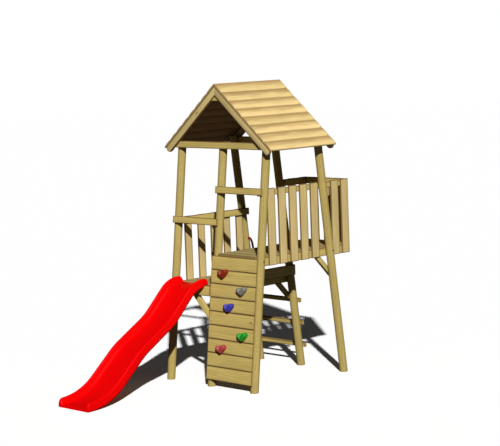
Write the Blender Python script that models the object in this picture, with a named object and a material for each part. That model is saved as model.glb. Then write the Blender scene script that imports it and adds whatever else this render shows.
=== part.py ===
"""Stilt playhouse: a timber play tower on six leaning round posts, with two decks, a balcony,
a gable roof of boards laid edge to edge, a climbing wall, a ladder and a wave slide.

Metres, +Z up. X runs along the front, from the slide to the climbing wall, and +Y to the back.
The tower is laid out about its own centre, and one empty moves it so that the origin is the
bottom centre of the whole object.
"""
from math import atan, ceil, cos, exp, hypot, pi, radians, sin, sqrt, tan

import bmesh
import bpy
from mathutils import Vector

# Fits
touch = 0.0003              # gap left between pieces that touch
bite = 0.001                # how far boards of one joined piece are let into each other

# Posts
post_spacing = 0.689        # between neighbouring post axes along X
post_spread = 1.506         # between front and back post axes, on the ground
post_lean = 0.121           # how far a post leans in for each metre that it rises
post_diameter = 0.096
post_sides = 16

# Decks
lower_deck_height = 1.153
upper_deck_height = 1.523
beam_height = 0.095
beam_thickness = 0.036
deck_board_thickness = 0.028
deck_board_width = 0.148    # widest deck board
deck_board_gap = 0.006
balcony_back = 0.960        # outer face of the balcony from the tower's centre
balcony_side = -0.020       # outer face of the balcony's left side from the middle posts

# Rails and fences
rail_height = 0.080
rail_thickness = 0.026
rail_overhang = 0.025       # past the axis of the post that it ends on
side_rail_height = 0.064    # rail of the right fence
side_rail_drop = 0.016      # from a picket's top to that rail
front_guard_height = 0.765  # top of a front rail above its deck
side_guard_height = 0.752   # top of a fence above its deck
picket_thickness = 0.018
left_picket_width = 0.110
left_picket_count = 5
right_picket_width = 0.125
right_picket_count = 5
right_fence_setback = 0.035 # from the front post to the first picket
balcony_picket_width = 0.112
balcony_side_pitch = 0.185
right_end_pitch = 0.172     # of the last two pickets of the right fence
balcony_back_pitch = 0.192
balcony_back_count = 3
picket_clearance = 0.007

# Step up between the decks
riser_height = 0.124
riser_thickness = 0.028
riser_above_lower_deck = 0.097
riser_past_post = 0.016     # past the front and back posts' axes

# Braces
brace_width = 0.060
brace_reach = 0.207
front_brace_width = 0.070
front_brace_reach = 0.355
front_brace_degrees = 42.5
front_brace_lap = 0.060

# Climbing wall
wall_board_count = 9
wall_board_thickness = 0.020
wall_board_gap = 0.004
wall_foot_height = 0.087
wall_below_deck = 0.023
wall_left_overhang = 0.031
wall_right_overhang = 0.012

# Climbing holds: colour name, board counted from the top, X, height above the board's middle
hold_places = (
    ("brown", 2, 0.183, 0.040),
    ("grey", 3, 0.498, 0.024),
    ("blue", 4, 0.302, -0.022),
    ("green", 6, 0.541, -0.014),
    ("red", 7, 0.211, -0.027),
)
hold_width = 0.144
hold_depth = 0.058
hold_tilt_degrees = 10.0    # right-hand lobe up
hold_points = 24
hold_rings = 6
hold_squareness = 5.0       # power of the curve from the foot to the nose
hold_valley = 0.6           # share of the depth lost in the valley below the notch
hold_valley_width = 0.018

# Ladder
rung_count = 3
rung_spacing = 0.277
rung_height = 0.050
rung_depth = 0.036

# Grab handles
handle_length = 0.270
handle_reach = 0.060
handle_foot = 0.010         # straight run out of the post
handle_diameter = 0.026
handle_above_deck = 0.247   # middle of the handle above the lower deck
handle_points = 13

# Roof
ridge_height = 3.4628
roof_pitch_degrees = 40.1
roof_board_count = 8
roof_board_width = 0.1405
roof_board_gap = 0.001
roof_board_thickness = 0.026
roof_board_chamfer = 0.004
roof_end_overhang = 0.004   # past the rafters' faces
rafter_width = 0.080
rafter_thickness = 0.036
rafter_end_inset = 0.045    # from the eave to the middle of a rafter's round end
rafter_end_points = 7
tie_height = 0.080
tie_thickness = 0.028
back_tie_drop = 0.014       # the back tie beam lies this much lower
roof_clearance = 0.014      # above the outer posts' tops
post_top_drop = 0.005
gusset_drop = 0.169
gusset_thickness = 0.018

# Slide
slide_top_width = 0.466
slide_foot_width = 0.504
slide_wall = 0.006
slide_height = 0.100        # skirt edge to rim top
slide_bed_height = 0.030    # skirt edge to bed
slide_rim_width = 0.044
slide_flank_width = 0.030
slide_lap = 0.046           # length that lies over the lower deck and its front beam
slide_top_length = 0.170
slide_slope_degrees = (44.7, 30.5, 41.3)
slide_steep_length = 0.517
slide_hump_length = 0.552
slide_foot_length = 0.330
slide_foot_rise = 0.012
slide_top_radius = 0.27
slide_wave_radius = 0.80
slide_arc_points = 6
slide_end_round = 0.040      # rounding of the rims' top end
slide_foot_round = 0.050     # rounding of the rims' foot end
slide_foot_drop = 0.5        # share of the bed's height lost at the foot
slide_end_points = 5

# Edges
board_round = 0.004
rail_round = 0.005

# Derived sizes
post_radius = post_diameter / 2
half_spread = post_spread / 2
lean_angle = atan(post_lean)
lean_stretch = hypot(1.0, post_lean)
post_columns = (-post_spacing, 0.0, post_spacing)
lower_beam_top = lower_deck_height - deck_board_thickness
upper_beam_top = upper_deck_height - deck_board_thickness
lower_beam_foot = lower_beam_top - beam_height
upper_beam_foot = upper_beam_top - beam_height

pitch = radians(roof_pitch_degrees)
rafter_apex = ridge_height - roof_board_thickness / cos(pitch)
roof_slope_length = roof_board_count * roof_board_width
tie_top = (rafter_apex - (post_spacing + post_radius) * tan(pitch)) - roof_clearance
tie_foot = tie_top - tie_height
post_top = tie_top - post_top_drop

# Faces of the outer bays, counted from the tower's middle
outer_post_face = post_spacing - post_radius
rail_face = outer_post_face - touch
picket_face = rail_face - touch
beam_face = picket_face - touch
inner_post_face = post_radius + touch


def post_y(z):
    """Distance of a post's axis from the tower's middle plane at height z."""
    return half_spread - post_lean * z


def lean_offset(distance):
    """Horizontal distance that lies the given distance off a leaning post's axis."""
    return distance * lean_stretch


tie_back = post_y(tie_foot) + lean_offset(post_radius) + touch
tie_front = tie_back + tie_thickness
rafter_back = tie_front + touch
rafter_front = rafter_back + rafter_thickness
roof_half_length = rafter_front + roof_end_overhang

# Slide layout, from its seat on the lower deck down to the ground
slide_middle = -post_spacing / 2
slide_skirt = slide_bed_height - slide_wall
beam_front_y = -(post_y(lower_deck_height) + lean_offset(post_radius + touch + deck_board_thickness))
slide_top_y = beam_front_y + slide_lap
slide_seat = lower_deck_height + touch - slide_skirt


def clear_scene():
    for item in list(bpy.data.objects):
        bpy.data.objects.remove(item, do_unlink=True)


def material(name, colour, roughness, metallic=0.0):
    made = bpy.data.materials.new(name)
    made.use_nodes = True
    shader = made.node_tree.nodes["Principled BSDF"]
    shader.inputs["Base Color"].default_value = (*colour, 1.0)
    shader.inputs["Roughness"].default_value = roughness
    shader.inputs["Metallic"].default_value = metallic
    return made


def add_object(name, bm, finish, base, location=(0, 0, 0), rotation=(0, 0, 0), smooth=None):
    """Turn a bmesh into a named object under the base empty."""
    bmesh.ops.recalc_face_normals(bm, faces=bm.faces)
    mesh = bpy.data.meshes.new(name)
    bm.to_mesh(mesh)
    bm.free()
    if smooth is not None:
        mesh.shade_smooth()
        mesh.set_sharp_from_angle(angle=radians(smooth))
    mesh.materials.append(finish)
    made = bpy.data.objects.new(name, mesh)
    bpy.context.collection.objects.link(made)
    made.parent = base
    made.location = location
    made.rotation_euler = rotation
    return made


def box_mesh(low, high):
    """A box between two corners."""
    bm = bmesh.new()
    bmesh.ops.create_cube(bm, size=1.0)
    for vertex in bm.verts:
        vertex.co = Vector([low[i] + (vertex.co[i] + 0.5) * (high[i] - low[i]) for i in range(3)])
    return bm


def centred_box(size):
    return box_mesh([-s / 2 for s in size], [s / 2 for s in size])


def prism_mesh(outline, low, high, place):
    """Extrude a flat outline from low to high; place maps (u, v, depth) to X, Y and Z."""
    bm = bmesh.new()
    start = [bm.verts.new(place(u, v, low)) for u, v in outline]
    face = bm.faces.new(start)
    grown = bmesh.ops.extrude_face_region(bm, geom=[face])
    shift = Vector(place(0, 0, high)) - Vector(place(0, 0, low))
    for item in grown["geom"]:
        if isinstance(item, bmesh.types.BMVert):
            item.co += shift
    return bm


def round_edges(piece, width):
    """A small one-step bevel on a board's edges."""
    bevel = piece.modifiers.new("edges", "BEVEL")
    bevel.width = width
    bevel.segments = 1
    bevel.limit_method = "ANGLE"
    bevel.angle_limit = radians(40)


def joined(name, boxes, finish, base):
    """Union of overlapping box meshes as one solid."""
    piece = add_object(name, boxes[0], finish, base)
    others = [add_object(name + "_part", bm, finish, base) for bm in boxes[1:]]
    for other in others:
        union = piece.modifiers.new("union", "BOOLEAN")
        union.operation = "UNION"
        union.solver = "EXACT"
        union.object = other
    graph = bpy.context.evaluated_depsgraph_get()
    mesh = bpy.data.meshes.new_from_object(piece.evaluated_get(graph))
    piece.modifiers.clear()
    piece.data = mesh
    for other in others:
        bpy.data.objects.remove(other, do_unlink=True)
    return piece


def lean_place(x, z, offset, side):
    """Point on the front (side -1) or back (side 1) of the posts, offset off their axes."""
    return (x, side * (post_y(z) + lean_offset(offset)), z)


def leaning_box(across, heights, offsets, side):
    """A box with level top and foot whose front and back follow the leaning posts."""
    bm = box_mesh((across[0], 0, heights[0]), (across[1], 1, heights[1]))
    for vertex in bm.verts:
        offset = offsets[1] if vertex.co.y > 0.5 else offsets[0]
        vertex.co.y = side * (post_y(vertex.co.z) + lean_offset(offset))
    return bm


def leaning_board(name, size, middle, side, finish, base, edge=board_round):
    """A board that lies flat against the leaning posts; middle is (x, z) of its centre."""
    x, z = middle
    offset = post_radius + touch + size[1] / 2
    piece = add_object(name, centred_box(size), finish, base,
                       location=lean_place(x, z, offset, side),
                       rotation=(side * lean_angle, 0, 0))
    round_edges(piece, edge)
    return piece


def add_posts(wood, base):
    columns = zip(("left", "middle", "right"), post_columns)
    for column, x in columns:
        for row, side in (("front", -1), ("back", 1)):
            bm = bmesh.new()
            angles = [2 * pi * i / post_sides for i in range(post_sides)]
            ring = [bm.verts.new((post_radius * cos(a), lean_offset(post_radius) * sin(a), 0))
                    for a in angles]
            grown = bmesh.ops.extrude_face_region(bm, geom=[bm.faces.new(ring)])
            for item in grown["geom"]:
                if isinstance(item, bmesh.types.BMVert):
                    item.co += Vector((0, -side * post_lean * post_top, post_top))
            add_object(f"post_{row}_{column}", bm, wood, base,
                       location=(x, side * half_spread, 0), smooth=30)


def add_front_rails(wood, base):
    length = post_spacing + 2 * rail_overhang
    size = (length, rail_thickness, rail_height * lean_stretch)
    for name, x, deck in (("lower", -post_spacing / 2, lower_deck_height),
                          ("upper", post_spacing / 2, upper_deck_height)):
        z = deck + front_guard_height - rail_height / 2
        leaning_board(f"front_rail_{name}", size, (x, z), -1, wood, base, rail_round)


def add_climbing_wall(wood, base):
    top = upper_deck_height - wall_below_deck
    rise = (top - wall_foot_height) / wall_board_count
    height = (rise - wall_board_gap) * lean_stretch
    left = -wall_left_overhang
    right = post_spacing + wall_right_overhang
    size = (right - left, wall_board_thickness, height)
    middles = []
    for i in range(wall_board_count):
        z = top - rise * (i + 0.5)
        middles.append(z)
        leaning_board(f"climbing_board_{i + 1}", size, ((left + right) / 2, z), -1, wood, base)
    return middles


def heart(angle):
    """Unit-width outline of a squat heart with a deep notch and a blunt foot."""
    x = sin(angle) ** 3
    y = 13 * cos(angle) - 5 * cos(2 * angle) - 2 * cos(3 * angle) - cos(4 * angle)
    blunt = 0.45 * (1 - cos(angle)) / 2
    across = ((1 - blunt) * x + blunt * sin(angle)) / 2
    notch = 0.16 * exp(-((across / 0.12) ** 2)) if y > 0 else 0.0
    return across, 0.73 * (y + 2.5) / 32 - notch


def add_holds(middles, finishes, base):
    """Heart-shaped domed grips with a valley below the notch."""
    tilt = radians(hold_tilt_degrees)
    for colour, board, x, rise in hold_places:
        bm = bmesh.new()
        layers = []
        for k in range(hold_rings):
            turn = pi / 2 * k / hold_rings
            share = sin(turn) ** (2 / hold_squareness)
            scale = cos(turn) ** (2 / hold_squareness)
            layer = []
            for i in range(hold_points):
                u, v = heart(2 * pi * (i + 0.5) / hold_points)
                u, v = u * hold_width * scale, v * hold_width * scale
                sunk = hold_valley * share * exp(-((u / hold_valley_width) ** 2)) if v > 0 else 0.0
                across, up = u * cos(tilt) - v * sin(tilt), u * sin(tilt) + v * cos(tilt)
                layer.append(bm.verts.new((across, -share * hold_depth * (1 - sunk), up)))
            layers.append(layer)
        for lower, upper in zip(layers, layers[1:]):
            bmesh.ops.bridge_loops(bm, edges=loop_edges(bm, lower) + loop_edges(bm, upper))
        bm.faces.new(layers[0])
        nose = bm.verts.new((0, -hold_depth, 0))
        last = layers[-1]
        for i in range(hold_points):
            bm.faces.new((last[i], last[(i + 1) % hold_points], nose))
        offset = post_radius + wall_board_thickness + 2 * touch
        z = middles[board - 1] + rise
        add_object(f"hold_{colour}", bm, finishes[colour], base,
                   location=lean_place(x, z, offset, -1), rotation=(-lean_angle, 0, 0), smooth=50)


def loop_edges(bm, ring):
    """Edges round a ring of vertices, made if they aren't there."""
    edges = []
    for i, vertex in enumerate(ring):
        following = ring[(i + 1) % len(ring)]
        edges.append(bm.edges.get((vertex, following)) or bm.edges.new((vertex, following)))
    return edges


def deck_boards(front, back, left, right, top):
    """Boards along X that cover a deck from front to back."""
    count = ceil((back - front + deck_board_gap) / (deck_board_width + deck_board_gap))
    step = (back - front + deck_board_gap) / count
    boards = []
    for i in range(count):
        low = front + i * step
        boards.append(((low, low + step - deck_board_gap), left, right, top))
    return boards


def board_box(span, left, right, top):
    return box_mesh((left, span[0], top - deck_board_thickness - bite), (right, span[1], top))


def add_lower_deck(wood, base):
    left, right = -beam_face, -inner_post_face
    reach = post_y(lower_beam_foot) + lean_offset(post_radius) + bite
    boxes = [
        box_mesh((left, -reach, lower_beam_foot), (left + beam_thickness, reach, lower_beam_top)),
        box_mesh((right - beam_thickness, -reach, lower_beam_foot), (right, reach, lower_beam_top)),
    ]
    behind = post_y(lower_beam_top) + lean_offset(post_radius + touch)
    for span, low, high, top in deck_boards(-behind - bite, behind + bite, left, right,
                                            lower_deck_height):
        boxes.append(board_box(span, low, high, top))
    outer = -post_spacing - rail_overhang
    wall_side = -wall_left_overhang - touch
    near = post_radius + touch
    boxes.append(leaning_box((outer, wall_side), (lower_beam_foot, lower_deck_height),
                             (near, near + deck_board_thickness), -1))
    boxes.append(box_mesh((left + bite, reach - bite - beam_thickness, lower_beam_foot),
                          (right - bite, reach - bite, lower_beam_top - bite)))
    joined("lower_deck", boxes, wood, base)


def add_upper_deck(wood, base):
    left, right = inner_post_face, beam_face
    front = -(post_y(upper_deck_height) + lean_offset(post_radius)) + touch
    back = balcony_back - picket_thickness - touch
    corner = balcony_side + picket_thickness + touch
    foot, top = upper_beam_foot, upper_beam_top
    end = back - beam_thickness
    behind_post = post_y(foot) + lean_offset(post_radius) + touch
    boxes = [
        box_mesh((left, front, foot), (left + beam_thickness, end + bite, top)),
        box_mesh((right - beam_thickness, front, foot), (right, end + bite, top)),
        box_mesh((left + bite, front, foot), (right - bite, front + beam_thickness, top - bite)),
        box_mesh((corner, end, foot), (right - bite, back, top)),
        box_mesh((corner, behind_post, foot), (corner + beam_thickness, end + bite, top)),
    ]
    clear_of_post = post_y(top) + lean_offset(post_radius) + touch
    for span, low, high, deck in deck_boards(front, back, left, right, upper_deck_height):
        edge = corner if span[0] > clear_of_post else low
        boxes.append(board_box(span, edge, high, deck))
    joined("upper_deck", boxes, wood, base)


def picket_limit(z):
    """Distance from the middle plane at which a post's side leaves room for a picket."""
    inset = post_spacing - (picket_face + picket_thickness)
    chord = sqrt(max(post_radius ** 2 - inset ** 2, 0.0))
    return post_y(z) - lean_offset(chord) - picket_clearance


def add_left_fence(wood, base):
    top = lower_deck_height + side_guard_height
    reach = post_y(top) + lean_offset(post_radius)
    boxes = [box_mesh((-rail_face, -reach, top - rail_height),
                      (-rail_face + rail_thickness, reach, top))]
    limit = picket_limit(top)
    step = (2 * limit - left_picket_width) / (left_picket_count - 1)
    outside = -picket_face - picket_thickness
    for i in range(left_picket_count):
        start = -limit + i * step
        boxes.append(box_mesh((outside, start, lower_beam_foot),
                              (-picket_face, start + left_picket_width, top - bite)))
    joined("fence_left", boxes, wood, base)


def add_right_fence(wood, base):
    top = upper_deck_height + side_guard_height
    rail_top = top - side_rail_drop
    front = post_y(top) + lean_offset(post_radius)
    back_rail = balcony_back - picket_thickness - rail_thickness - touch
    boxes = [box_mesh((rail_face - rail_thickness, -front, rail_top - side_rail_height),
                      (rail_face, back_rail - touch, rail_top))]
    limit = picket_limit(top)
    first = -(limit + picket_clearance) + right_fence_setback
    step = (limit - right_picket_width - first) / (right_picket_count - 1)
    last = balcony_back - right_picket_width
    starts = [first + i * step for i in range(right_picket_count)]
    for start in starts + [last - right_end_pitch, last]:
        boxes.append(box_mesh((picket_face, start, upper_beam_foot),
                              (picket_face + picket_thickness, start + right_picket_width, top)))
    joined("fence_right", boxes, wood, base)


def add_balcony_fence(wood, base):
    top = upper_deck_height + side_guard_height
    rail_foot = top - rail_height
    inside = balcony_side + picket_thickness
    back_face = balcony_back - picket_thickness
    behind_post = post_y(rail_foot) + lean_offset(post_radius) + touch
    back_rail = back_face - rail_thickness
    boxes = [
        box_mesh((inside - touch, behind_post, rail_foot),
                 (inside + rail_thickness, back_rail + bite, top)),
        box_mesh((inside - touch, back_rail, rail_foot), (beam_face, back_face + touch, top)),
    ]
    for i in range(2):
        end = back_face - touch - i * balcony_side_pitch
        boxes.append(box_mesh((balcony_side, end - balcony_picket_width, upper_beam_foot),
                              (inside, end, top - bite)))
    first = (inside + rail_face - balcony_picket_width) / 2 - balcony_back_pitch
    for i in range(balcony_back_count):
        start = first + i * balcony_back_pitch
        boxes.append(box_mesh((start, back_face, upper_beam_foot),
                              (start + balcony_picket_width, balcony_back, top - bite)))
    joined("fence_balcony", boxes, wood, base)


def add_riser(wood, base):
    foot = lower_deck_height + riser_above_lower_deck - riser_height
    reach = post_y(foot + riser_height / 2) + riser_past_post
    bm = box_mesh((inner_post_face, -reach, foot),
                  (inner_post_face + riser_thickness, reach, foot + riser_height))
    round_edges(add_object("riser_board", bm, wood, base), board_round)


def add_braces(wood, base):
    """Braces under the side beams at the back posts, and one under the lower front beam."""
    for name, face, foot in (("right", beam_face, upper_beam_foot),
                             ("middle", -inner_post_face, lower_beam_foot)):
        z = foot - touch
        low = post_y(z) - brace_reach
        high = low + brace_width / sin(radians(45))
        outline = [(low, z), (high, z)]
        for start in (high, low):
            drop = (post_y(z) + post_radius / 4 - start) / (1 - post_lean)
            outline.append((start + drop, z - drop))
        bm = prism_mesh(outline, face - beam_thickness, face, lambda u, v, d: (d, u, v))
        add_object(f"brace_back_{name}", bm, wood, base)
    slope = tan(radians(front_brace_degrees))
    wide = front_brace_width / sin(radians(front_brace_degrees))
    foot = lower_beam_foot * lean_stretch
    top = foot + front_brace_lap
    outline = []
    for reach in (front_brace_reach, front_brace_reach - wide):
        outline.append((-reach - (top - foot) / slope, top))
    for reach in (front_brace_reach - wide, front_brace_reach):
        outline.append((-inner_post_face, foot - (reach - inner_post_face) * slope))
    bm = prism_mesh(outline, post_radius - beam_thickness, post_radius,
                    lambda u, v, d: (u, -d, v))
    add_object("brace_front_middle", bm, wood, base, location=(0, -half_spread, 0),
               rotation=(-lean_angle, 0, 0))


def add_ladder(wood, base):
    left = -post_spacing - post_radius
    right = post_radius
    size = (right - left, rung_depth, rung_height)
    step_top = lower_beam_foot + beam_height / 2
    for i in range(rung_count):
        z = step_top - (i + 1) * rung_spacing
        leaning_board(f"ladder_rung_{i + 1}", size, ((left + right) / 2, z), 1, wood, base,
                      rail_round)


def add_handles(plastic, base):
    """Bowed grab handles on the two posts beside the ladder's exit."""
    middle = lower_deck_height + handle_above_deck
    surface = post_radius + touch
    for name, x, turn in (("left", -post_spacing, 0), ("right", 0.0, 180)):
        path = [(surface, handle_length / 2)]
        for i in range(handle_points):
            angle = pi * i / (handle_points - 1)
            bow = (handle_reach - handle_foot) * abs(sin(angle)) ** 0.8
            along = handle_length / 2 * abs(cos(angle)) ** 0.8
            path.append((surface + handle_foot + bow, along if angle < pi / 2 else -along))
        path.append((surface, -handle_length / 2))
        curve = bpy.data.curves.new(f"handle_{name}", "CURVE")
        curve.dimensions = "3D"
        curve.bevel_depth = handle_diameter / 2
        curve.bevel_resolution = 2
        curve.use_fill_caps = True
        spline = curve.splines.new("POLY")
        spline.points.add(len(path) - 1)
        for point, (out, along) in zip(spline.points, path):
            point.co = (out * cos(radians(turn)), out * sin(radians(turn)), along, 1)
        curve.materials.append(plastic)
        made = bpy.data.objects.new(f"handle_{name}", curve)
        bpy.context.collection.objects.link(made)
        made.parent = base
        made.location = (x, post_y(middle), middle)
        made.rotation_euler = (lean_angle, 0, 0)


def add_roof_frame(wood, base):
    """Tie beams, four rafters with round feet, and the gusset between the front ones."""
    reach = post_spacing + rail_overhang
    for row, side, drop in (("front", -1, 0.0), ("back", 1, back_tie_drop)):
        foot = tie_foot - drop
        inner = post_y(foot) + lean_offset(post_radius) + touch
        low, high = sorted((side * inner, side * tie_front))
        bm = box_mesh((-reach, low, foot), (reach, high, foot + tie_height))
        round_edges(add_object(f"tie_beam_{row}", bm, wood, base), rail_round)
    top = rafter_apex - touch / cos(pitch)
    half = rafter_width / 2
    end = roof_slope_length - rafter_end_inset
    for column, hand in (("left", -1), ("right", 1)):
        outline = [(hand * touch, top - touch * tan(pitch))]
        for i in range(rafter_end_points):
            angle = pi / 2 - pi * i / (rafter_end_points - 1)
            along = end + half * cos(angle)
            across = half * sin(angle) - half
            outline.append((hand * (along * cos(pitch) + across * sin(pitch)),
                            top - along * sin(pitch) + across * cos(pitch)))
        outline.append((hand * touch, top - rafter_width / cos(pitch) - touch * tan(pitch)))
        for row, side in (("front", -1), ("back", 1)):
            bm = prism_mesh(outline, side * rafter_back, side * rafter_front,
                            lambda u, v, d: (u, d, v))
            add_object(f"rafter_{row}_{column}", bm, wood, base)
    foot = rafter_apex - gusset_drop
    peak = rafter_apex - (rafter_width + 2 * touch) / cos(pitch)
    spread = (peak - foot) / tan(pitch)
    bm = prism_mesh([(-spread, foot), (spread, foot), (0, peak)], -rafter_back,
                    -rafter_back - gusset_thickness, lambda u, v, d: (u, d, v))
    add_object("gable_gusset", bm, wood, base)


def add_roof_boards(wood, base):
    """Boards laid edge to edge on both slopes, numbered from the eave, with chamfered edges."""
    def corner(along, lift):
        x = along * cos(pitch) + lift * sin(pitch)
        return x, rafter_apex - along * sin(pitch) + lift * cos(pitch)

    face = roof_board_thickness
    edge = face - roof_board_chamfer
    mitre = touch / cos(pitch)
    for i in range(roof_board_count):
        low = roof_slope_length - i * roof_board_width
        high = low - roof_board_width + roof_board_gap
        profile = [(high, 0.0), (low, 0.0), (low, edge), (low - roof_board_chamfer, face)]
        if i == roof_board_count - 1:
            profile[0] = (mitre, 0.0)
            profile.append((mitre - face * tan(pitch), face))
        else:
            profile += [(high + roof_board_chamfer, face), (high, edge)]
        for column, hand in (("left", -1), ("right", 1)):
            points = [corner(along, lift) for along, lift in profile]
            bm = prism_mesh([(hand * x, z) for x, z in points], -roof_half_length,
                            roof_half_length, lambda u, v, d: (u, d, v))
            add_object(f"roof_board_{column}_{i + 1}", bm, wood, base)


def slide_corners():
    """Corners of the skirt's lower edge in the Y-Z plane, each with its bend radius."""
    y, z = slide_top_y, slide_seat
    corners = [(y, z, 0.0)]
    y -= slide_top_length
    corners.append((y, z, slide_top_radius))
    for length, slope in zip((slide_steep_length, slide_hump_length), slide_slope_degrees):
        y -= length * cos(radians(slope))
        z -= length * sin(radians(slope))
        corners.append((y, z, slide_wave_radius))
    last = radians(slide_slope_degrees[2])
    y -= (z - slide_foot_rise) / tan(last)
    corners.append((y, slide_foot_rise, slide_wave_radius))
    corners.append((y - slide_foot_length, 0.0, 0.0))
    return corners


def slide_path():
    """Points along the lower edge: straight runs joined by arcs."""
    corners = slide_corners()
    points = []
    first = Vector(corners[0][:2])
    second = Vector(corners[1][:2])
    run = (second - first).normalized()
    for i in range(slide_end_points):
        share = 1 - sqrt(1 - (i / slide_end_points) ** 2)
        points.append(first + run * slide_end_round * share)
    points.append(Vector((beam_front_y - touch, slide_seat)))
    for before, here, after in zip(corners, corners[1:], corners[2:]):
        point = Vector(here[:2])
        back = (Vector(before[:2]) - point).normalized()
        ahead = (Vector(after[:2]) - point).normalized()
        half_turn = (pi - back.angle(ahead)) / 2
        reach = here[2] * tan(half_turn)
        centre = point + (back + ahead).normalized() * here[2] / cos(half_turn)
        start = point + back * reach - centre
        stop = point + ahead * reach - centre
        for i in range(slide_arc_points + 1):
            share = i / slide_arc_points
            points.append(centre + start.slerp(stop, share) * here[2])
    final = Vector(corners[-1][:2])
    run = (final - points[-1]).normalized()
    for i in range(slide_end_points - 1):
        points.append(final - run * slide_foot_round * (1 - i / slide_end_points) ** 1.5)
    points.append(final - run * (slide_wall + touch))
    points.append(final - run * slide_wall)
    points.append(final)
    return points


def slide_section(width, rim, bed, skirt_foot, filled):
    """Closed cross-section (across, up); rim is how much of the rim's height is there."""
    half = width / 2
    rise = (slide_height - slide_bed_height) * rim
    crest = bed + rise
    inner = half - slide_rim_width
    outside = [(half, skirt_foot), (half, crest - 0.22 * rise)]
    for across, down in ((0.16, 0.06), (0.42, 0.0), (0.75, 0.08), (1.0, 0.30)):
        outside.append((half - across * slide_rim_width, crest - down * rise))
    for across, up in ((0.45, 0.22), (1.0, 0.03), (2.0, 0.0)):
        outside.append((inner - across * slide_flank_width, bed + up * rise))
    inside = offset_line(outside, slide_wall)
    if filled:
        edge = inside[0][0]
        inside = [(min(x, edge - touch * i), skirt_foot) for i, (x, z) in enumerate(inside)]
    right = outside
    left = [(-x, z) for x, z in reversed(outside)]
    under_left = [(-x, z) for x, z in inside]
    under_right = list(reversed(inside))
    return right + left + under_left + under_right


def offset_line(line, distance):
    """Line moved to its left-hand side, towards the hollow under the slide."""
    moved = []
    for i, point in enumerate(line):
        here = Vector(point)
        before = Vector(line[max(i - 1, 0)])
        after = Vector(line[min(i + 1, len(line) - 1)])
        if i == 0:
            moved.append((here.x - distance, here.y))
            continue
        if i == len(line) - 1:
            moved.append((here.x, here.y - distance))
            continue
        first = (here - before).normalized()
        second = (after - here).normalized()
        normal = Vector((-first.y - second.y, first.x + second.x)).normalized()
        spread = distance / max(normal.dot(Vector((-first.y, first.x))), 0.5)
        moved.append((here.x + normal.x * spread, here.y + normal.y * spread))
    return moved


def add_slide(plastic, base):
    path = slide_path()
    lengths = [0.0]
    for a, b in zip(path, path[1:]):
        lengths.append(lengths[-1] + (b - a).length)
    bm = bmesh.new()
    rings = []
    for i, point in enumerate(path):
        ahead = path[min(i + 1, len(path) - 1)]
        behind = path[max(i - 1, 0)]
        along = (ahead - behind).normalized()
        up = Vector((along.y, -along.x))
        if i == 0 or i >= len(path) - slide_end_points - 2:
            up = Vector((0.0, 1.0))
        share = lengths[i] / lengths[-1]
        width = slide_top_width + (slide_foot_width - slide_top_width) * share
        rim = 1.0
        if lengths[i] < slide_end_round:
            rim = 0.25 + 0.75 * sqrt(1 - (1 - lengths[i] / slide_end_round) ** 2)
        bed = slide_bed_height
        from_foot = (lengths[-1] - lengths[i]) / slide_foot_round
        if from_foot < 1:
            rim = 0.35 + 0.65 * sqrt(1 - (1 - from_foot) ** 2)
            bed *= 1 - slide_foot_drop * (1 - from_foot) ** 2
        filled = i >= len(path) - 2
        past_beam = (beam_front_y - 2 * touch - point.x) / slide_skirt / 1.5
        skirt_foot = slide_skirt * (1 - min(max(past_beam, 0.0), 1.0))
        ring = []
        for across, rise in slide_section(width, rim, bed, skirt_foot, filled):
            spot = point + up * rise
            ring.append(bm.verts.new((slide_middle + across, spot.x, spot.y)))
        rings.append(ring)
    count = len(rings[0])
    for near, far in zip(rings, rings[1:]):
        for i in range(count):
            j = (i + 1) % count
            bm.faces.new((near[i], near[j], far[j], far[i]))
    bm.faces.new(rings[0])
    bm.faces.new(rings[-1])
    add_object("slide", bm, plastic, base, smooth=35)


def main():
    clear_scene()
    slide_end = slide_corners()[-1][0]
    base = bpy.data.objects.new("playhouse_base", None)
    bpy.context.collection.objects.link(base)
    base.location = (0, -(slide_end + balcony_back) / 2, 0)

    post_wood = material("post_wood", (0.50, 0.38, 0.13), 0.75)
    board_wood = material("board_wood", (0.52, 0.39, 0.14), 0.72)
    fence_wood = material("fence_wood", (0.56, 0.42, 0.20), 0.74)
    roof_wood = material("roof_wood", (0.85, 0.62, 0.27), 0.70)
    red_plastic = material("slide_plastic", (0.80, 0.0, 0.005), 0.30)
    grips = {
        "brown": material("hold_brown_resin", (0.36, 0.04, 0.02), 0.5),
        "grey": material("hold_grey_resin", (0.22, 0.21, 0.21), 0.5),
        "blue": material("hold_blue_resin", (0.04, 0.04, 0.60), 0.5),
        "green": material("hold_green_resin", (0.01, 0.33, 0.05), 0.5),
        "red": material("hold_red_resin", (0.60, 0.04, 0.08), 0.5),
    }

    add_posts(post_wood, base)
    add_roof_frame(board_wood, base)
    add_roof_boards(roof_wood, base)
    add_front_rails(board_wood, base)
    middles = add_climbing_wall(board_wood, base)
    add_holds(middles, grips, base)
    add_lower_deck(board_wood, base)
    add_upper_deck(board_wood, base)
    add_left_fence(fence_wood, base)
    add_right_fence(fence_wood, base)
    add_balcony_fence(fence_wood, base)
    add_riser(board_wood, base)
    add_braces(board_wood, base)
    add_ladder(board_wood, base)
    add_handles(red_plastic, base)
    add_slide(red_plastic, base)


main()
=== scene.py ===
"""Looks of the stilt playhouse: logs, sawn boards, a moulded slide, climbing holds and fixings.

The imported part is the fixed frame. Each operator below dresses one piece, or one group of like
pieces, in world metres with +Z up: X runs along the front and +Y to the back.
"""
from math import atan, ceil, cos, exp, hypot, pi, radians, sin, sqrt, tan

import bmesh
import bpy
from bpy.props import FloatProperty, FloatVectorProperty, IntProperty, PointerProperty
from mathutils import Matrix, Vector


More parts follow.
